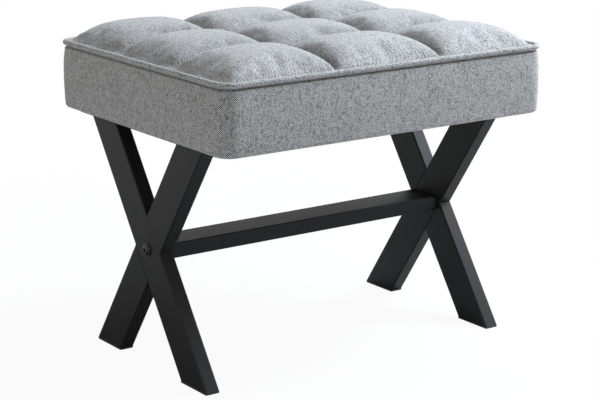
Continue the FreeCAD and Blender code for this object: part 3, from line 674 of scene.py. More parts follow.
def wrap(name, profile, material, ripple=None, bias=0.0):
    """Sweep a closed profile round the seat, with its weave map."""
    stops, whole = outline()
    walked = [stop[2] for stop in stops] + [whole]
    girth = [0.0]
    for near, far in zip(profile, profile[1:] + profile[:1]):
        girth.append(girth[-1] + math.dist(near, far))
    places = []
    for start, end in zip(walked, walked[1:]):
        for low, high in zip(girth, girth[1:]):
            for across, along in ((start, low), (start, high), (end, high), (end, low)):
                places.append((across * math.cos(bias) - along * math.sin(bias),
                               across * math.sin(bias) + along * math.cos(bias)))
    faces = grid_faces(len(stops), len(profile), rows_closed=True, columns_closed=True)
    piece = new_piece(name, round_points(stops, profile, ripple), faces, material)
    set_weave(piece.data, places)
    return piece


def arc_points(centre, radius, start, end, steps):
    """Points of an arc between two angles in degrees."""
    angles = [math.radians(start + (end - start) * step / steps) for step in range(steps + 1)]
    return [(centre[0] + radius * math.cos(angle), centre[1] + radius * math.sin(angle)) for angle in angles]


# Quilted top


def draw_in_corner(x, y, half_x, half_y, radius):
    """Move a point of a rectangle's corner square in to the rounded corner."""
    across = (abs(x) - half_x + radius) / radius
    along = (abs(y) - half_y + radius) / radius
    if across <= 0 or along <= 0:
        return x, y
    inner_x = half_x - radius + radius * across * math.sqrt(1 - along * along / 2)
    inner_y = half_y - radius + radius * along * math.sqrt(1 - across * across / 2)
    return math.copysign(inner_x, x), math.copysign(inner_y, y)


def cell_step(share, cells):
    """Where a share of the top's width lies in its cell, from one seam at -1 to the next at 1."""
    place = share * cells
    return 2 * (place - min(int(place), cells - 1)) - 1


def column_step(share, margin):
    """The same across the columns, where the outer cells end at a margin short of the piping."""
    step = cell_step(share, COLUMNS)
    left = 1 - margin * COLUMNS / (2 * QUILT_HIGH.x)
    if share * COLUMNS < 1:
        return max(1 - (1 - step) / left, -1)
    if share * COLUMNS > COLUMNS - 1:
        return min((1 + step) / left - 1, 1)
    return step


def side_power(share, cells, shape):
    """Power of the section at a share of the top's width: gentler on the way down to the piping."""
    outer_half = min(share, 1 - share) < 0.5 / cells
    return shape.edge_fullness if outer_half else shape.fullness


def cell_rise(step_x, step_y, power_x, power_y, shape):
    """Share of the crown at a place in a cell: full to its corners, and none at its seams."""
    side_x = 1 - abs(step_x) ** shape.breadth
    side_y = 1 - abs(step_y) ** shape.breadth
    if min(side_x, side_y) <= 0:
        return 0.0
    return math.sqrt(2 / ((side_x ** power_x) ** -2 + (side_y ** power_y) ** -2))


def quilt_start(shape):
    """The cover before it is filled: a grid of low crowned cells, with its flat places and sewn points."""
    steps_x = COLUMNS * CELL_STEPS_X
    steps_y = ROWS * CELL_STEPS_Y
    half_x = QUILT_HIGH.x
    half_y = QUILT_HIGH.y
    corner = SEAT_CORNER - (SEAT_X - QUILT_HIGH.x)
    seam = QUILT_LOW.z + shape.seam_rise
    points = []
    flats = []
    sewn = []
    for row in range(steps_y + 1):
        for column in range(steps_x + 1):
            x = half_x * (2 * column / steps_x - 1)
            y = half_y * (2 * row / steps_y - 1)
            step_x = column_step(column / steps_x, shape.margin)
            step_y = cell_step(row / steps_y, ROWS)
            power_x = side_power(column / steps_x, COLUMNS, shape)
            power_y = side_power(row / steps_y, ROWS, shape)
            rise = cell_rise(step_x, step_y, power_x, power_y, shape)
            if column % CELL_STEPS_X == 0 or row % CELL_STEPS_Y == 0 or abs(step_x) == 1:
                sewn.append(len(points))
            inner_x, inner_y = draw_in_corner(x, y, half_x, half_y, corner)
            points.append(Vector((inner_x, inner_y, seam + shape.crown * rise)))
            flats.append((x, y, 0.0))
    return points, grid_faces(steps_y + 1, steps_x + 1), flats, sewn


def fill_cells(piece, sewn, shape):
    """Blow the cells up as cloth that is sewn down along its seams."""
    group = piece.vertex_groups.new(name="sewn")
    group.add(sewn, 1.0, "REPLACE")
    cloth = piece.modifiers.new("filling", "CLOTH")
    settings = cloth.settings
    settings.quality = 7
    settings.mass = 0.3
    settings.tension_stiffness = 18
    settings.compression_stiffness = 18
    settings.shear_stiffness = 6
    settings.bending_stiffness = 0.6
    settings.use_pressure = True
    settings.uniform_pressure_force = shape.pressure
    settings.shrink_min = -shape.slack
    settings.vertex_group_mass = "sewn"
    settings.effector_weights.gravity = 0
    cloth.collision_settings.use_collision = False
    cloth.point_cache.frame_start = 1
    cloth.point_cache.frame_end = FILL_STEPS
    scene = bpy.context.scene
    for step in range(FILL_STEPS):
        scene.frame_set(step + 1)
    evaluated = piece.evaluated_get(bpy.context.evaluated_depsgraph_get())
    filled = [vertex.co.copy() for vertex in evaluated.data.vertices]
    piece.modifiers.remove(cloth)
    scene.frame_set(1)
    for vertex, place in zip(piece.data.vertices, filled):
        move = place - vertex.co
        if move.length > shape.reach:
            move *= shape.reach / move.length
        vertex.co += move


def seam_lines(half, cells):
    """Where the seams between cells lie across the top."""
    return [half * (2 * line / cells - 1) for line in range(1, cells)]


def gather_wave(away, run, share):
    """Share of the gathers' height at a distance from a seam and along it."""
    pitch = 13 * MM
    reach = 9 * MM
    start = 2.5 * MM
    wander = noise.noise(Vector((run * 22.0, away * 6.0, share * 3.0)))
    wave = math.sin(run * 2 * math.pi / pitch + wander * 4.0)
    strength = 0.55 + 0.45 * noise.noise(Vector((run * 35.0, 4.0, share)))
    return share * strength * wave * math.exp(-away / reach) * (1 - math.exp(-away / start))


def painted_shade_falloff(away_x, away_y):
    """Share of painted shade at a place, from 0 to 1, fading away from the nearest seams: less beside the
    column seams than beside the row seams.
    """
    column_share = 0.7
    column_reach = 20 * MM
    row_reach = 28 * MM
    return max(column_share * math.exp(-away_x / column_reach), math.exp(-away_y / row_reach))


def gather_cover(mesh, shape):
    """Draw the seams down, raise the small gathers beside them and mark the painted shade in the channels."""
    rim_share = 1.0
    seam_share = 0.75
    crease_width = 2.2 * MM
    rim_width = 6 * MM
    broad_height = 0.3 * MM
    broad_start = 20 * MM
    channel = mesh.attributes.new("channel", "FLOAT", "POINT").data
    flats = mesh.attributes["flat"].data
    lines_x = seam_lines(QUILT_HIGH.x, COLUMNS)
    lines_y = seam_lines(QUILT_HIGH.y, ROWS)
    normals = [vertex.normal.copy() for vertex in mesh.vertices]
    for vertex, flat, normal, depth in zip(mesh.vertices, flats, normals, channel):
        x, y, _ = flat.vector
        to_end = QUILT_HIGH.x - abs(x)
        to_front = QUILT_HIGH.y - abs(y)
        away_x = [abs(x - line) for line in lines_x]
        away_y = [abs(y - line) for line in lines_y]
        to_rim = min(to_end, to_front)
        to_seam = min(away_x + away_y)
        edges = [(to_end, y, rim_share), (to_front, x, rim_share)]
        edges += [(away, y, seam_share) for away in away_x]
        edges += [(away, x, seam_share) for away in away_y]
        gathers = sum(gather_wave(*edge) for edge in edges) * shape.gather
        broad = noise.noise(Vector((x * 14.0, y * 14.0, 2.0))) * broad_height
        clear = 1 - math.exp(-min(to_rim, to_seam) / broad_start)
        # Painted shade: how much the linen's colour is darkened here, near the seams.
        depth.value = painted_shade_falloff(min(away_x), min(away_y))
        vertex.co += normal * (gathers + broad * clear)
        if to_rim > rim_width:
            vertex.co.z -= shape.crease * math.exp(-(to_seam / crease_width) ** 2)


def close_under(mesh, floor):
    """Close the cover with a short wall and a flat underside."""
    shell = bmesh.new()
    shell.from_mesh(mesh)
    rim = [edge for edge in shell.edges if edge.is_boundary]
    wall = bmesh.ops.extrude_edge_only(shell, edges=rim)["geom"]
    for item in wall:
        if isinstance(item, bmesh.types.BMVert):
            item.co.z = floor
    foot = [edge for edge in shell.edges if edge.is_boundary]
    bmesh.ops.holes_fill(shell, edges=foot, sides=0)
    shell.to_mesh(mesh)
    shell.free()
    face_outward(mesh)


class FOOTSTOOL_OT_quilted_top(bpy.types.Operator):
    """Make the quilted top: a cover sewn in cells and filled until they puff up"""

    bl_idname = "footstool.quilted_top"
    bl_label = "Quilted Top"

    def execute(self, context):
        shape = context.scene.footstool_quilt
        clear = 0.2 * MM
        points, faces, flats, sewn = quilt_start(shape)
        piece = new_piece("quilted_cover", points, faces, linen_finish())
        mesh = piece.data
        layer = mesh.attributes.new("flat", "FLOAT_VECTOR", "POINT")
        for item, flat in zip(layer.data, flats):
            item.vector = flat
        corners = [flats[corner] for face in faces for corner in face]
        set_weave(mesh, [(x * CELL_WEAVE, y * CELL_WEAVE) for x, y, _ in corners])
        sharp = set(sewn)
        crease = mesh.attributes.new("crease_edge", "FLOAT", "EDGE")
        for edge, item in zip(mesh.edges, crease.data):
            item.value = 1.0 if sharp.issuperset(edge.vertices) else 0.0
        fill_cells(piece, sewn, shape)
        finer = piece.modifiers.new("finer", "SUBSURF")
        finer.levels = 1
        finer.render_levels = 1
        bake_modifiers(piece)
        gather_cover(piece.data, shape)
        seams = self.seam_paths(piece.data)
        close_under(piece.data, QUILT_LOW.z + clear)
        piece.vertex_groups.clear()
        attach(piece, "grey_linen", "quilted_top")
        self.sew(seams, shape)
        return {"FINISHED"}

    def seam_paths(self, mesh):
        """Lines of points along the seams, a little above the cloth."""
        flats = [item.vector.copy() for item in mesh.attributes["flat"].data]
        lift = Vector((0, 0, 0.35 * MM))
        near = 0.1 * MM
        paths = []
        for axis, half, cells in ((0, QUILT_HIGH.x, COLUMNS), (1, QUILT_HIGH.y, ROWS)):
            for line in seam_lines(half, cells):
                row = [number for number, flat in enumerate(flats) if abs(flat[axis] - line) < near]
                row.sort(key=lambda number: flats[number][1 - axis])
                paths.append([mesh.vertices[number].co + lift for number in row])
        return paths

    def sew(self, seams, shape):
        """Lay stitches along the seams."""
        row = new_path("quilting_stitches", seams)
        tree = row_of("stitch_row", "GeometryNodeMeshUVSphere", {"Segments": 6, "Rings": 4, "Radius": 0.5})
        width = 0.9 * MM
        grow(row, tree, made_once("grey_thread", thread), Spacing=shape.stitch_pitch,
             Size=(shape.stitch_length, width, width))
        attach(row, "grey_linen")


# Rows of like things along a path, grown by nodes


def new_growth(name, **kinds):
    """Start a tree that grows on an object's mesh. Returns its web, then the wires of its mesh and inputs."""
    tree = bpy.data.node_groups.new(name, "GeometryNodeTree")
    tree.interface.new_socket("Geometry", in_out="OUTPUT", socket_type="NodeSocketGeometry")
    sockets = {"Geometry": "Geometry", **kinds, "Material": "Material"}
    for socket, kind in sockets.items():
        tree.interface.new_socket(socket, in_out="INPUT", socket_type=f"NodeSocket{kind}")
    web = Web(tree)
    source = tree.nodes.new("NodeGroupInput")
    return web, [Wire(web, socket) for socket in source.outputs[:len(sockets)]]


def end_growth(web, instances, material):
    """Make the instances real and give them their material. Returns the tree."""
    real = web.add("GeometryNodeRealizeInstances", None, {0: instances})
    done = web.add("GeometryNodeSetMaterial", None, {"Geometry": real, "Material": material})
    web.add("NodeGroupOutput", None, {0: done})
    return web.tree


def row_of(name, shape, sizes):
    """A tree that lays one small shape again and again along every line."""
    found = bpy.data.node_groups.get(name)
    if found:
        return found
    web, (path, spacing, size, material) = new_growth(name, Spacing="Float", Size="Vector")
    curve = web.add("GeometryNodeMeshToCurve", None, {0: path})
    even = web.add("GeometryNodeResampleCurve", {"mode": "LENGTH"}, {"Curve": curve, "Length": spacing})
    tangent = web.add("GeometryNodeInputTangent")
    turn = web.add("FunctionNodeAlignRotationToVector", {"axis": "X"}, {"Vector": tangent})
    thing = web.add(shape, None, sizes)
    rounded = web.add("GeometryNodeSetShadeSmooth", None, {"Geometry": thing})
    laid = web.add("GeometryNodeInstanceOnPoints", None, {
        "Points": even, "Instance": rounded, "Rotation": turn, "Scale": size})
    return end_growth(web, laid, material)


def copies_of(name):
    """A tree that sets one object on every point."""
    web, (points, thing, material) = new_growth(name, Thing="Object")
    shape = web.add("GeometryNodeObjectInfo", None, {"Object": thing}, "Geometry")
    laid = web.add("GeometryNodeInstanceOnPoints", None, {"Points": points, "Instance": shape})
    return end_growth(web, laid, material)


def grow(piece, tree, material, **inputs):
    """Run a tree on a piece and keep the result as the piece's plain mesh."""
    modifier = piece.modifiers.new("growth", "NODES")
    modifier.node_group = tree
    inputs["Material"] = material
    for item in tree.interface.items_tree:
        if item.in_out == "INPUT" and item.name in inputs:
            modifier[item.identifier] = inputs[item.name]
    bake_modifiers(piece)


# Band, piping and lining


def band_profile(shape):
    """The band's closed section: tucked in under the piping, swelling, rounded below and hemmed."""
    top = SEAT_HIGH.z - shape.seam_gap
    lid = top - 0.1 * MM
    low = SEAT_LOW.z
    radius = shape.bottom_radius
    tuck = 2.4 * MM
    below_tuck = 1 * MM
    back = 9.5 * MM
    edge = shape.swell
    steps = 12
    drawn = shape.draw_in
    outer = [(back, lid), (drawn + tuck, lid)]
    outer += arc_points((drawn + tuck, top - tuck), tuck, 112, 180, 4)
    high = top - tuck - below_tuck
    foot = low + radius
    for step in range(steps + 1):
        share = 2 * step / steps - 1
        inset = edge * share * share
        if share < 0:
            inset += (drawn - edge) * share ** 4
        outer.append((inset, high + (foot - high) * step / steps))
    outer += arc_points((edge + radius, low + radius), radius, 190, 270, 6)
    outer.append((shape.hem, low))
    thick = shape.cloth
    inner = [(shape.hem, low + thick), (edge + radius, low + thick)]
    inner += arc_points((edge + radius, low + radius), radius - thick, 260, 190, 5)
    inner += [(edge + thick, foot), (thick, (foot + high) / 2), (drawn + thick, high)]
    inner += [(drawn + tuck, lid - thick), (back, lid - thick)]
    return outer + inner


class FOOTSTOOL_OT_side_band(bpy.types.Operator):
    """Make the band round the seat, with the wadding and foam behind it"""

    bl_idname = "footstool.side_band"
    bl_label = "Side Band"

    def execute(self, context):
        shape = context.scene.footstool_cover
        band = wrap("band_cover", band_profile(shape), linen_finish(), self.ripple)
        attach(band, "grey_linen", "side_band")
        outline()[1]
        self.pad_sides(shape)
        self.lay_foam()
        return {"FINISHED"}

    def ripple(self, distance, inset, height):
        """Slow waves in the stretched cloth, and small puckers below the piping."""
        turned_in = 6 * MM
        wave_height = 0.45 * MM
        pucker_height = 0.22 * MM
        pucker_pitch = 16 * MM
        pucker_reach = 10 * MM
        highest = 0.6 * MM
        if inset > turned_in:
            return 0.0, 0.0
        slow = noise.noise(Vector((distance * 9.0, height * 16.0, 1.0))) * wave_height
        pull = math.exp(-(SEAT_HIGH.z - height) / pucker_reach)
        wander = noise.noise(Vector((distance * 18.0, 7.0, 0.0))) * 3.0
        pucker = math.sin(distance * 2 * math.pi / pucker_pitch + wander) * pucker_height * pull
        return 0.0, min(slow + pucker, highest)

    def pad_sides(self, shape):
        """Wrap the wadding inside the band."""
        low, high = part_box("side_wadding")
        clear = 0.2 * MM
        below_band = 2 * MM
        gap = shape.draw_in + shape.cloth + clear
        back = 7.4 * MM
        soft = 3 * MM
        top = high.z - shape.seam_gap - below_band
        profile = [(back, top)]
        profile += arc_points((gap + soft, top - soft), soft, 90, 180, 4)
        profile += arc_points((gap + soft, low.z + soft), soft, 180, 270, 4)
        profile.append((back, low.z))
        wadding = wrap("wadding_wrap", profile, made_once("white_wadding", fibre_wadding))
        attach(wadding, "wadding", "side_wadding")

    def lay_foam(self):
        """Lay the foam slab with softened edges."""
        low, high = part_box("seat_foam")
        stops, _ = outline()
        soft = 3 * MM
        inset = SEAT_X - high.x + soft
        profile = arc_points((inset, low.z + soft), soft, 270, 180, 3)
        profile += arc_points((inset, high.z - soft), soft, 180, 90, 3)
        rounds = len(stops)
        count = len(profile)
        faces = grid_faces(rounds, count, rows_closed=True, flipped=True)
        faces.append([stop * count for stop in reversed(range(rounds))])
        faces.append([stop * count + count - 1 for stop in range(rounds)])
        points = round_points(stops, profile)
        foam = new_piece("foam_slab", points, faces, made_once("seat_foam_cells", open_foam))
        attach(foam, "foam", "seat_foam")


class FOOTSTOOL_OT_piping(bpy.types.Operator):
    """Make the covered cord along the top edge"""

    bl_idname = "footstool.piping"
    bl_label = "Piping"

    def execute(self, context):
        shape = context.scene.footstool_cover
        radius = shape.piping / 2
        middle = (PIPING_LOW.z + PIPING_HIGH.z) / 2
        lift_height = 0.5 * MM
        lump_height = 0.18 * MM
        inward = 0.2 * MM
        tail = 1.2 * MM
        first_angle = -394
        last_angle = -60

        def ripple(distance, inset, height):
            """Slight unevenness of a hand-sewn cord."""
            lift = noise.noise(Vector((distance * 11.0, 3.0, 0.0))) * lift_height
            angle = math.atan2(height - middle, inset - radius)
            lump = noise.noise(Vector((distance * 55.0, angle, 5.0))) * lump_height
            return lift + lump * math.sin(angle), -lump * math.cos(angle) - inward

        foot = PIPING_LOW.z - shape.seam_gap - tail
        profile = arc_points((radius, middle), radius, first_angle, last_angle, 20)
        profile += [(profile[-1][0], foot), (profile[0][0], foot)]
        cord = wrap("piping_cord", profile, linen_finish(), ripple, math.radians(45))
        attach(cord, "grey_linen", "piping")
        return {"FINISHED"}


class FOOTSTOOL_OT_lining(bpy.types.Operator):
    """Make the lining under the seat and the staples that hold it"""

    bl_idname = "footstool.lining"
    bl_label = "Lining"

    def execute(self, context):
        shape = context.scene.footstool_cover
        half_x = LINING_HIGH.x
        half_y = LINING_HIGH.y
        corner = SEAT_CORNER - (SEAT_X - half_x)
        steps_x = 72
        steps_y = 58
        points = []
        for row in range(steps_y + 1):
            for column in range(steps_x + 1):
                flat_x = half_x * (2 * column / steps_x - 1)
                flat_y = half_y * (2 * row / steps_y - 1)
                x, y = draw_in_corner(flat_x, flat_y, half_x, half_y, corner)
                points.append((x, y, LINING_LOW.z + self.sag(x, y)))
        faces = grid_faces(steps_y + 1, steps_x + 1, flipped=True)
        cloth = new_piece("lining_cloth", points, faces, made_once("lining_felt", lining_cloth))
        thick = cloth.modifiers.new("thickness", "SOLIDIFY")
        thick.thickness = LINING_HIGH.z - LINING_LOW.z
        thick.offset = -1
        bake_modifiers(cloth)
        attach(cloth, "black_lining", "dust_cover")
        self.staple(shape)
        return {"FINISHED"}

    def sag(self, x, y):
        """The lining hangs a little between the plates and ripples beside them."""
        beside_plate = 6 * MM
        ripple_height = 0.8 * MM
        deepest = 2.2 * MM
        inner = abs(PLATE_HIGH.x) - beside_plate
        if abs(x) > inner:
            return 0.0
        across = 1 - (x / inner) ** 2
        along = 1 - (y / LINING_HIGH.y) ** 2
        ripple = noise.noise(Vector((x * 16.0, y * 9.0, 0.0))) * ripple_height
        return (ripple - deepest) * across * along

    def staple(self, shape):
        """Set staples along the front and back edges, clear of the corners."""
        from_end = 17 * MM
        from_edge = 5 * MM
        below = 0.15 * MM
        end = LINING_HIGH.x - from_end
        edge = LINING_HIGH.y - from_edge
        height = LINING_LOW.z - below
        wire_width = 1.3 * MM
        wire_height = 0.6 * MM
        lines = []
        for side in (-1, 1):
            lines.append([Vector((-end, side * edge, height)), Vector((end, side * edge, height))])
        row = new_path("lining_staples", lines)
        tree = row_of("staple_row", "GeometryNodeMeshCube", {"Size": (1.0, 1.0, 1.0)})
        grow(row, tree, made_once("zinc_plate", zinc), Spacing=shape.staple_pitch,
             Size=(shape.staple_width, wire_width, wire_height))
        attach(row, "zinc_steel")


# Steel


def lathe(profile, socket, depth, segments=48):
    """Turn a profile of (radius, height) points from the shank's tip to the crown, with a hexagon socket."""
    points = []
    for radius, height in profile:
        for step in range(segments):
            angle = 2 * math.pi * step / segments
            points.append(Vector((radius * math.cos(angle), radius * math.sin(angle), height)))
    crown = profile[-1][1]
    for height in (crown, crown - depth):
        for step in range(segments):
            angle = 2 * math.pi * step / segments
            within = angle % (math.pi / 3) - math.pi / 6
            reach = socket / 2 / math.cos(within)
            points.append(Vector((reach * math.cos(angle), reach * math.sin(angle), height)))
    rings = len(profile) + 2
    faces = [list(reversed(range(segments)))]
    faces += grid_faces(rings, segments, columns_closed=True)
    faces.append([(rings - 1) * segments + step for step in range(segments)])
    return points, faces


def finish_turning(mesh):
    """Face a turned mesh outwards, and keep its edges sharp."""
    face_outward(mesh)
    mesh.set_sharp_from_angle(angle=math.radians(35))


class FOOTSTOOL_OT_steel(bpy.types.Operator):
    """Coat the X-frames, the plates and the stretcher, and lay the weld beads under the plates"""

    bl_idname = "footstool.steel"
    bl_label = "Coated Steel"

    def execute(self, context):
        coat = made_once("black_powder_coat", coated_steel)
        parts = ("through_leg", "upper_half_leg", "lower_half_leg", "mount_plate")
        dress(["stretcher"] + [f"{side}_{part}" for side in SIDES for part in parts], coat)
        self.weld(coat)
        return {"FINISHED"}

    def weld(self, coat):
        """Lay a bead along each leg top where it meets its plate."""
        height = PLATE_LOW.z - 1.0 * MM
        start = 3 * MM
        end = 57 * MM
        bead_pitch = 2.1 * MM
        bead_size = (4.2 * MM, 5.0 * MM, 4.4 * MM)
        lines = []
        for side in SIDES:
            for leg in ("through_leg", "upper_half_leg"):
                low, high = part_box(f"{side}_{leg}")
                inner = min(low.x, high.x, key=abs)
                outer_y = high.y if abs(high.y) > abs(low.y) else low.y
                toward = -math.copysign(1, outer_y)
                lines.append([Vector((inner, outer_y + toward * away, height)) for away in (start, end)])
        row = new_path("weld_beads", lines)
        tree = row_of("bead_row", "GeometryNodeMeshUVSphere", {"Segments": 8, "Rings": 6, "Radius": 0.5})
        grow(row, tree, coat, Spacing=bead_pitch, Size=bead_size)
        attach(row, "black_steel")


class FOOTSTOOL_OT_bolts(bpy.types.Operator):
    """Make the stretcher's button-head bolts and the plates' cap-head bolts with their washers"""

    bl_idname = "footstool.bolts"
    bl_label = "Bolts"

    def execute(self, context):
        steel = made_once("black_bolt_steel", dark_bolt)
        for side, sign in zip(SIDES, (-1, 1)):
            self.button_head(side, sign, steel)
        self.plate_bolts(steel)
        dress(["plate_washers"], steel)
        return {"FINISHED"}

    def button_head(self, side, sign, steel):
        """The flanged bolt in the middle of a crossing."""
        low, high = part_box(f"{side}_stretcher_bolt")
        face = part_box(f"{side}_through_leg")[0 if sign < 0 else 1].x
        tip = high.x if sign < 0 else low.x
        crown = abs(low.x if sign < 0 else high.x) - abs(face)
        flange = (high.y - low.y) / 2
        head = 7 * MM
        flat = 4.1 * MM
        shank = 4 * MM
        rim = 1.4 * MM
        bevel = 0.6 * MM
        soft = 0.35 * MM
        edge_width = 0.2 * MM
        edge_height = 0.25 * MM
        fillet_width = 0.3 * MM
        fillet_height = 0.05 * MM
        dome_steps = 8
        reach = abs(face - tip)
        profile = [(shank - bevel, -reach), (shank, -reach + bevel), (shank, 0.0)]
        profile += [(flange - edge_width, 0.0), (flange, edge_height), (flange, rim - soft)]
        profile += [(flange - soft, rim), (head + fillet_width, rim + fillet_height)]
        for step in range(1, dome_steps + 1):
            angle = math.pi / 2 * step / dome_steps
            profile.append((flat + (head - flat) * math.cos(angle), rim + (crown - rim) * math.sin(angle)))
        points, faces = lathe(profile, socket=5 * MM, depth=2.6 * MM)
        middle = (low.z + high.z) / 2
        placed = [Vector((face + sign * point.z, -sign * point.x, middle + point.y)) for point in points]
        bolt = new_piece(f"{side}_button_bolt", placed, faces, steel)
        finish_turning(bolt.data)
        attach(bolt, "black_bolt", f"{side}_stretcher_bolt")

    def plate_bolts(self, steel):
        """Cap-head bolts up through the plates."""
        low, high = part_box("plate_bolts")
        washers_low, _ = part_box("plate_washers")
        head = 5.25 * MM
        shank = 3 * MM
        bevel = 0.5 * MM
        edge = 0.2 * MM
        soft = 0.3 * MM
        rounding = 0.9 * MM
        seat = washers_low.z
        rise = seat - low.z
        profile = [(shank - bevel, seat - high.z), (shank, seat - high.z + bevel), (shank, 0.0)]
        profile += [(head - edge, 0.0), (head, edge), (head, rise - rounding)]
        profile += [(head - soft, rise - soft), (head - rounding, rise)]
        points, faces = lathe(profile, socket=4 * MM, depth=2 * MM, segments=36)
        turned = [Vector((point.x, -point.y, -point.z)) for point in points]
        pattern = new_piece("bolt_pattern", turned, faces)
        finish_turning(pattern.data)
        across = high.x - head
        along = high.y - head
        places = [Vector((x, y, seat)) for x in (-across, across) for y in (-along, along)]
        row = new_path("plate_bolt_heads", [[place] for place in places])
        grow(row, copies_of("bolt_places"), steel, Thing=pattern)
        bpy.data.objects.remove(pattern)
        attach(row, "black_bolt", "plate_bolts")


class FOOTSTOOL_OT_inside(bpy.types.Operator):
    """Finish the glides, the fixings and the timber inside the seat"""

    bl_idname = "footstool.inside"
    bl_label = "Glides and Timber"

    def execute(self, context):
        plastic = made_once("black_glide_plastic", glide_plastic)
        dress([f"{side}_{end}_glide" for side in SIDES for end in ENDS], plastic)
        plated = made_once("zinc_plate", zinc)
        fixings = [f"{side}_{part}" for side in SIDES for part in ("spacer_bush", "nut_plate")]
        dress(["tee_nuts"] + fixings, plated)
        pine = ((0.62, 0.43, 0.24), (0.44, 0.27, 0.12))
        beech = ((0.60, 0.38, 0.22), (0.46, 0.27, 0.14))
        corners = [f"{end}_{side}_corner_block" for end in ENDS for side in SIDES]
        woods = (
            ("pine_along_x", pine, "X", ["front_rail", "back_rail"] + corners),
            ("pine_along_y", pine, "Y", ["left_rail", "right_rail", "left_bearer", "right_bearer"]),
            ("beech_along_y", beech, "Y", ["frame_tenons"]),
        )
        for name, (pale, dark), along, solids in woods:
            dress(solids, made_once(name, timber, name, pale, dark, along))
        dress(["seat_panel"], made_once("birch_plywood", plywood))
        return {"FINISHED"}


# Stage


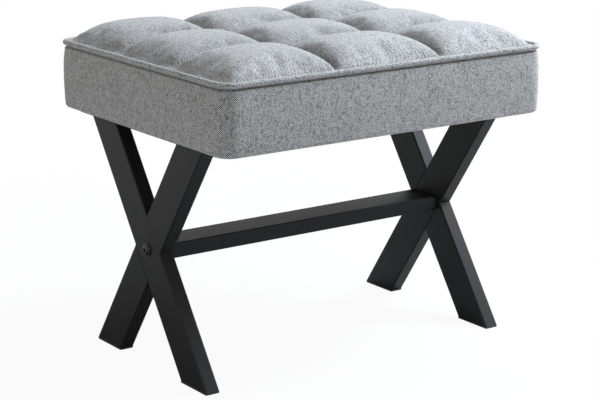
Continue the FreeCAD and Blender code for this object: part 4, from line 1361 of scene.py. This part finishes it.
class FOOTSTOOL_OT_stage(bpy.types.Operator):
    """Set up the floor, the light and the camera"""

    bl_idname = "footstool.stage"
    bl_label = "Stage"

    def execute(self, context):
        stage = context.scene.footstool_stage
        context.scene.view_settings.view_transform = "Standard"
        self.lay_floor(stage)
        self.light_world(context.scene, stage)
        for lamp in LAMPS:
            self.hang_lamp(*lamp)
        self.set_camera(context.scene, stage)
        return {"FINISHED"}

    def empty_web(self, block):
        """Clear the node tree of a material or a world."""
        block.use_nodes = True
        block.node_tree.nodes.clear()
        return Web(block.node_tree)

    def rays(self, web, *kinds):
        """1 for rays of some kinds, such as those from the camera, and 0 for all others."""
        node = web.tree.nodes.new("ShaderNodeLightPath")
        return sum(Wire(web, node.outputs[f"Is {kind} Ray"]) for kind in kinds).clamp()

    def lay_floor(self, stage):
        """A pale floor that keeps the stool's shadow and turns plain white further out."""
        reach = 6.0
        level = -0.1 * MM
        white_from = 0.45
        white_over = 0.9
        mirror_from = 0.5
        mirror_over = 0.8
        corners = ((-reach, -reach), (reach, -reach), (reach, reach), (-reach, reach))
        floor = new_piece("floor", [(*corner, level) for corner in corners], [(0, 1, 2, 3)])
        material = bpy.data.materials.new("pale_floor")
        web = self.empty_web(material)
        place = web.here()
        x, y, _ = web.split(place)
        away = (x * x + y * y) ** 0.5
        far = ((away - white_from) / white_over).clamp()
        plain = self.rays(web, "Camera", "Transmission") * (stage.floor_glow + (1 - stage.floor_glow) * far)
        mirrored = self.rays(web, "Glossy") * ((away - mirror_from) / mirror_over).clamp()
        glow = plain + mirrored
        grain = web.noise(place, 8.0)
        pale = web.mix(grain * 0.03, stage.floor, tuple(0.9 * part for part in stage.floor))
        matt = web.add("ShaderNodeBsdfDiffuse", None, {"Color": pale})
        white = web.add("ShaderNodeEmission", None, {"Color": WHITE, "Strength": 1.0})
        both = web.add("ShaderNodeMixShader", None, {0: glow, 1: matt, 2: white})
        web.add("ShaderNodeOutputMaterial", None, {"Surface": both})
        floor.data.materials.append(material)

    def light_world(self, scene, stage):
        """Even light all round, seen as plain white."""
        world = bpy.data.worlds.new("studio")
        web = self.empty_web(world)
        seen = self.rays(web, "Camera", "Glossy", "Transmission")
        strength = seen * (1 - stage.ambient) + stage.ambient
        sky = web.add("ShaderNodeBackground", None, {"Color": WHITE, "Strength": strength})
        web.add("ShaderNodeOutputWorld", None, {"Surface": sky})
        scene.world = world

    def hang_lamp(self, name, place, size, power, colour):
        """A square soft box that points at the seat."""
        lamp = bpy.data.lights.new(name, "AREA")
        lamp.shape = "SQUARE"
        lamp.size = size
        lamp.energy = power
        lamp.color = colour
        box = new_object(name, lamp)
        box.location = place
        box.rotation_euler = (LAMP_TARGET - Vector(place)).to_track_quat("-Z", "Y").to_euler()

    def set_camera(self, scene, stage):
        """A long lens at the height of a person sitting down."""
        lens = bpy.data.cameras.new("camera")
        lens.lens = stage.lens
        lens.sensor_width = 36
        lens.clip_end = 50
        camera = new_object("camera", lens)
        turn = math.radians(stage.azimuth)
        tilt = math.radians(stage.elevation)
        back = Vector((math.sin(turn) * math.cos(tilt), -math.cos(turn) * math.cos(tilt), math.sin(tilt)))
        camera.location = stage.place
        camera.rotation_euler = (-back).to_track_quat("-Z", "Y").to_euler()
        scene.camera = camera


class FOOTSTOOL_PT_panel(bpy.types.Panel):
    """Makers and settings of the footstool"""

    bl_label = "Footstool"
    bl_idname = "FOOTSTOOL_PT_panel"
    bl_space_type = "VIEW_3D"
    bl_region_type = "UI"
    bl_category = "Footstool"

    def draw(self, context):
        for maker in MAKERS:
            self.layout.operator(maker.bl_idname)
        for name, group in SETTINGS.items():
            box = self.layout.box()
            box.label(text=group.__doc__)
            for field in group.__annotations__:
                box.prop(getattr(context.scene, name), field)


MAKERS = (
    FOOTSTOOL_OT_stage,
    FOOTSTOOL_OT_quilted_top,
    FOOTSTOOL_OT_side_band,
    FOOTSTOOL_OT_piping,
    FOOTSTOOL_OT_lining,
    FOOTSTOOL_OT_steel,
    FOOTSTOOL_OT_bolts,
    FOOTSTOOL_OT_inside,
)
SETTINGS = {
    "footstool_quilt": QuiltSettings,
    "footstool_cover": CoverSettings,
    "footstool_finish": FinishSettings,
    "footstool_stage": StageSettings,
}


def register():
    """Add the settings, the operators and the panel."""
    for name, group in SETTINGS.items():
        bpy.utils.register_class(group)
        setattr(bpy.types.Scene, name, PointerProperty(type=group))
    for maker in (*MAKERS, FOOTSTOOL_PT_panel):
        bpy.utils.register_class(maker)


def unregister():
    """Take the settings, the operators and the panel away again."""
    for maker in (FOOTSTOOL_PT_panel, *reversed(MAKERS)):
        bpy.utils.unregister_class(maker)
    for name, group in SETTINGS.items():
        delattr(bpy.types.Scene, name)
        bpy.utils.unregister_class(group)


def main():
    """Make the whole footstool."""
    register()
    bpy.ops.footstool.stage()
    bpy.ops.footstool.quilted_top()
    bpy.ops.footstool.side_band()
    bpy.ops.footstool.piping()
    bpy.ops.footstool.lining()
    bpy.ops.footstool.steel()
    bpy.ops.footstool.bolts()
    bpy.ops.footstool.inside()


if __name__ == "__main__":
    main()
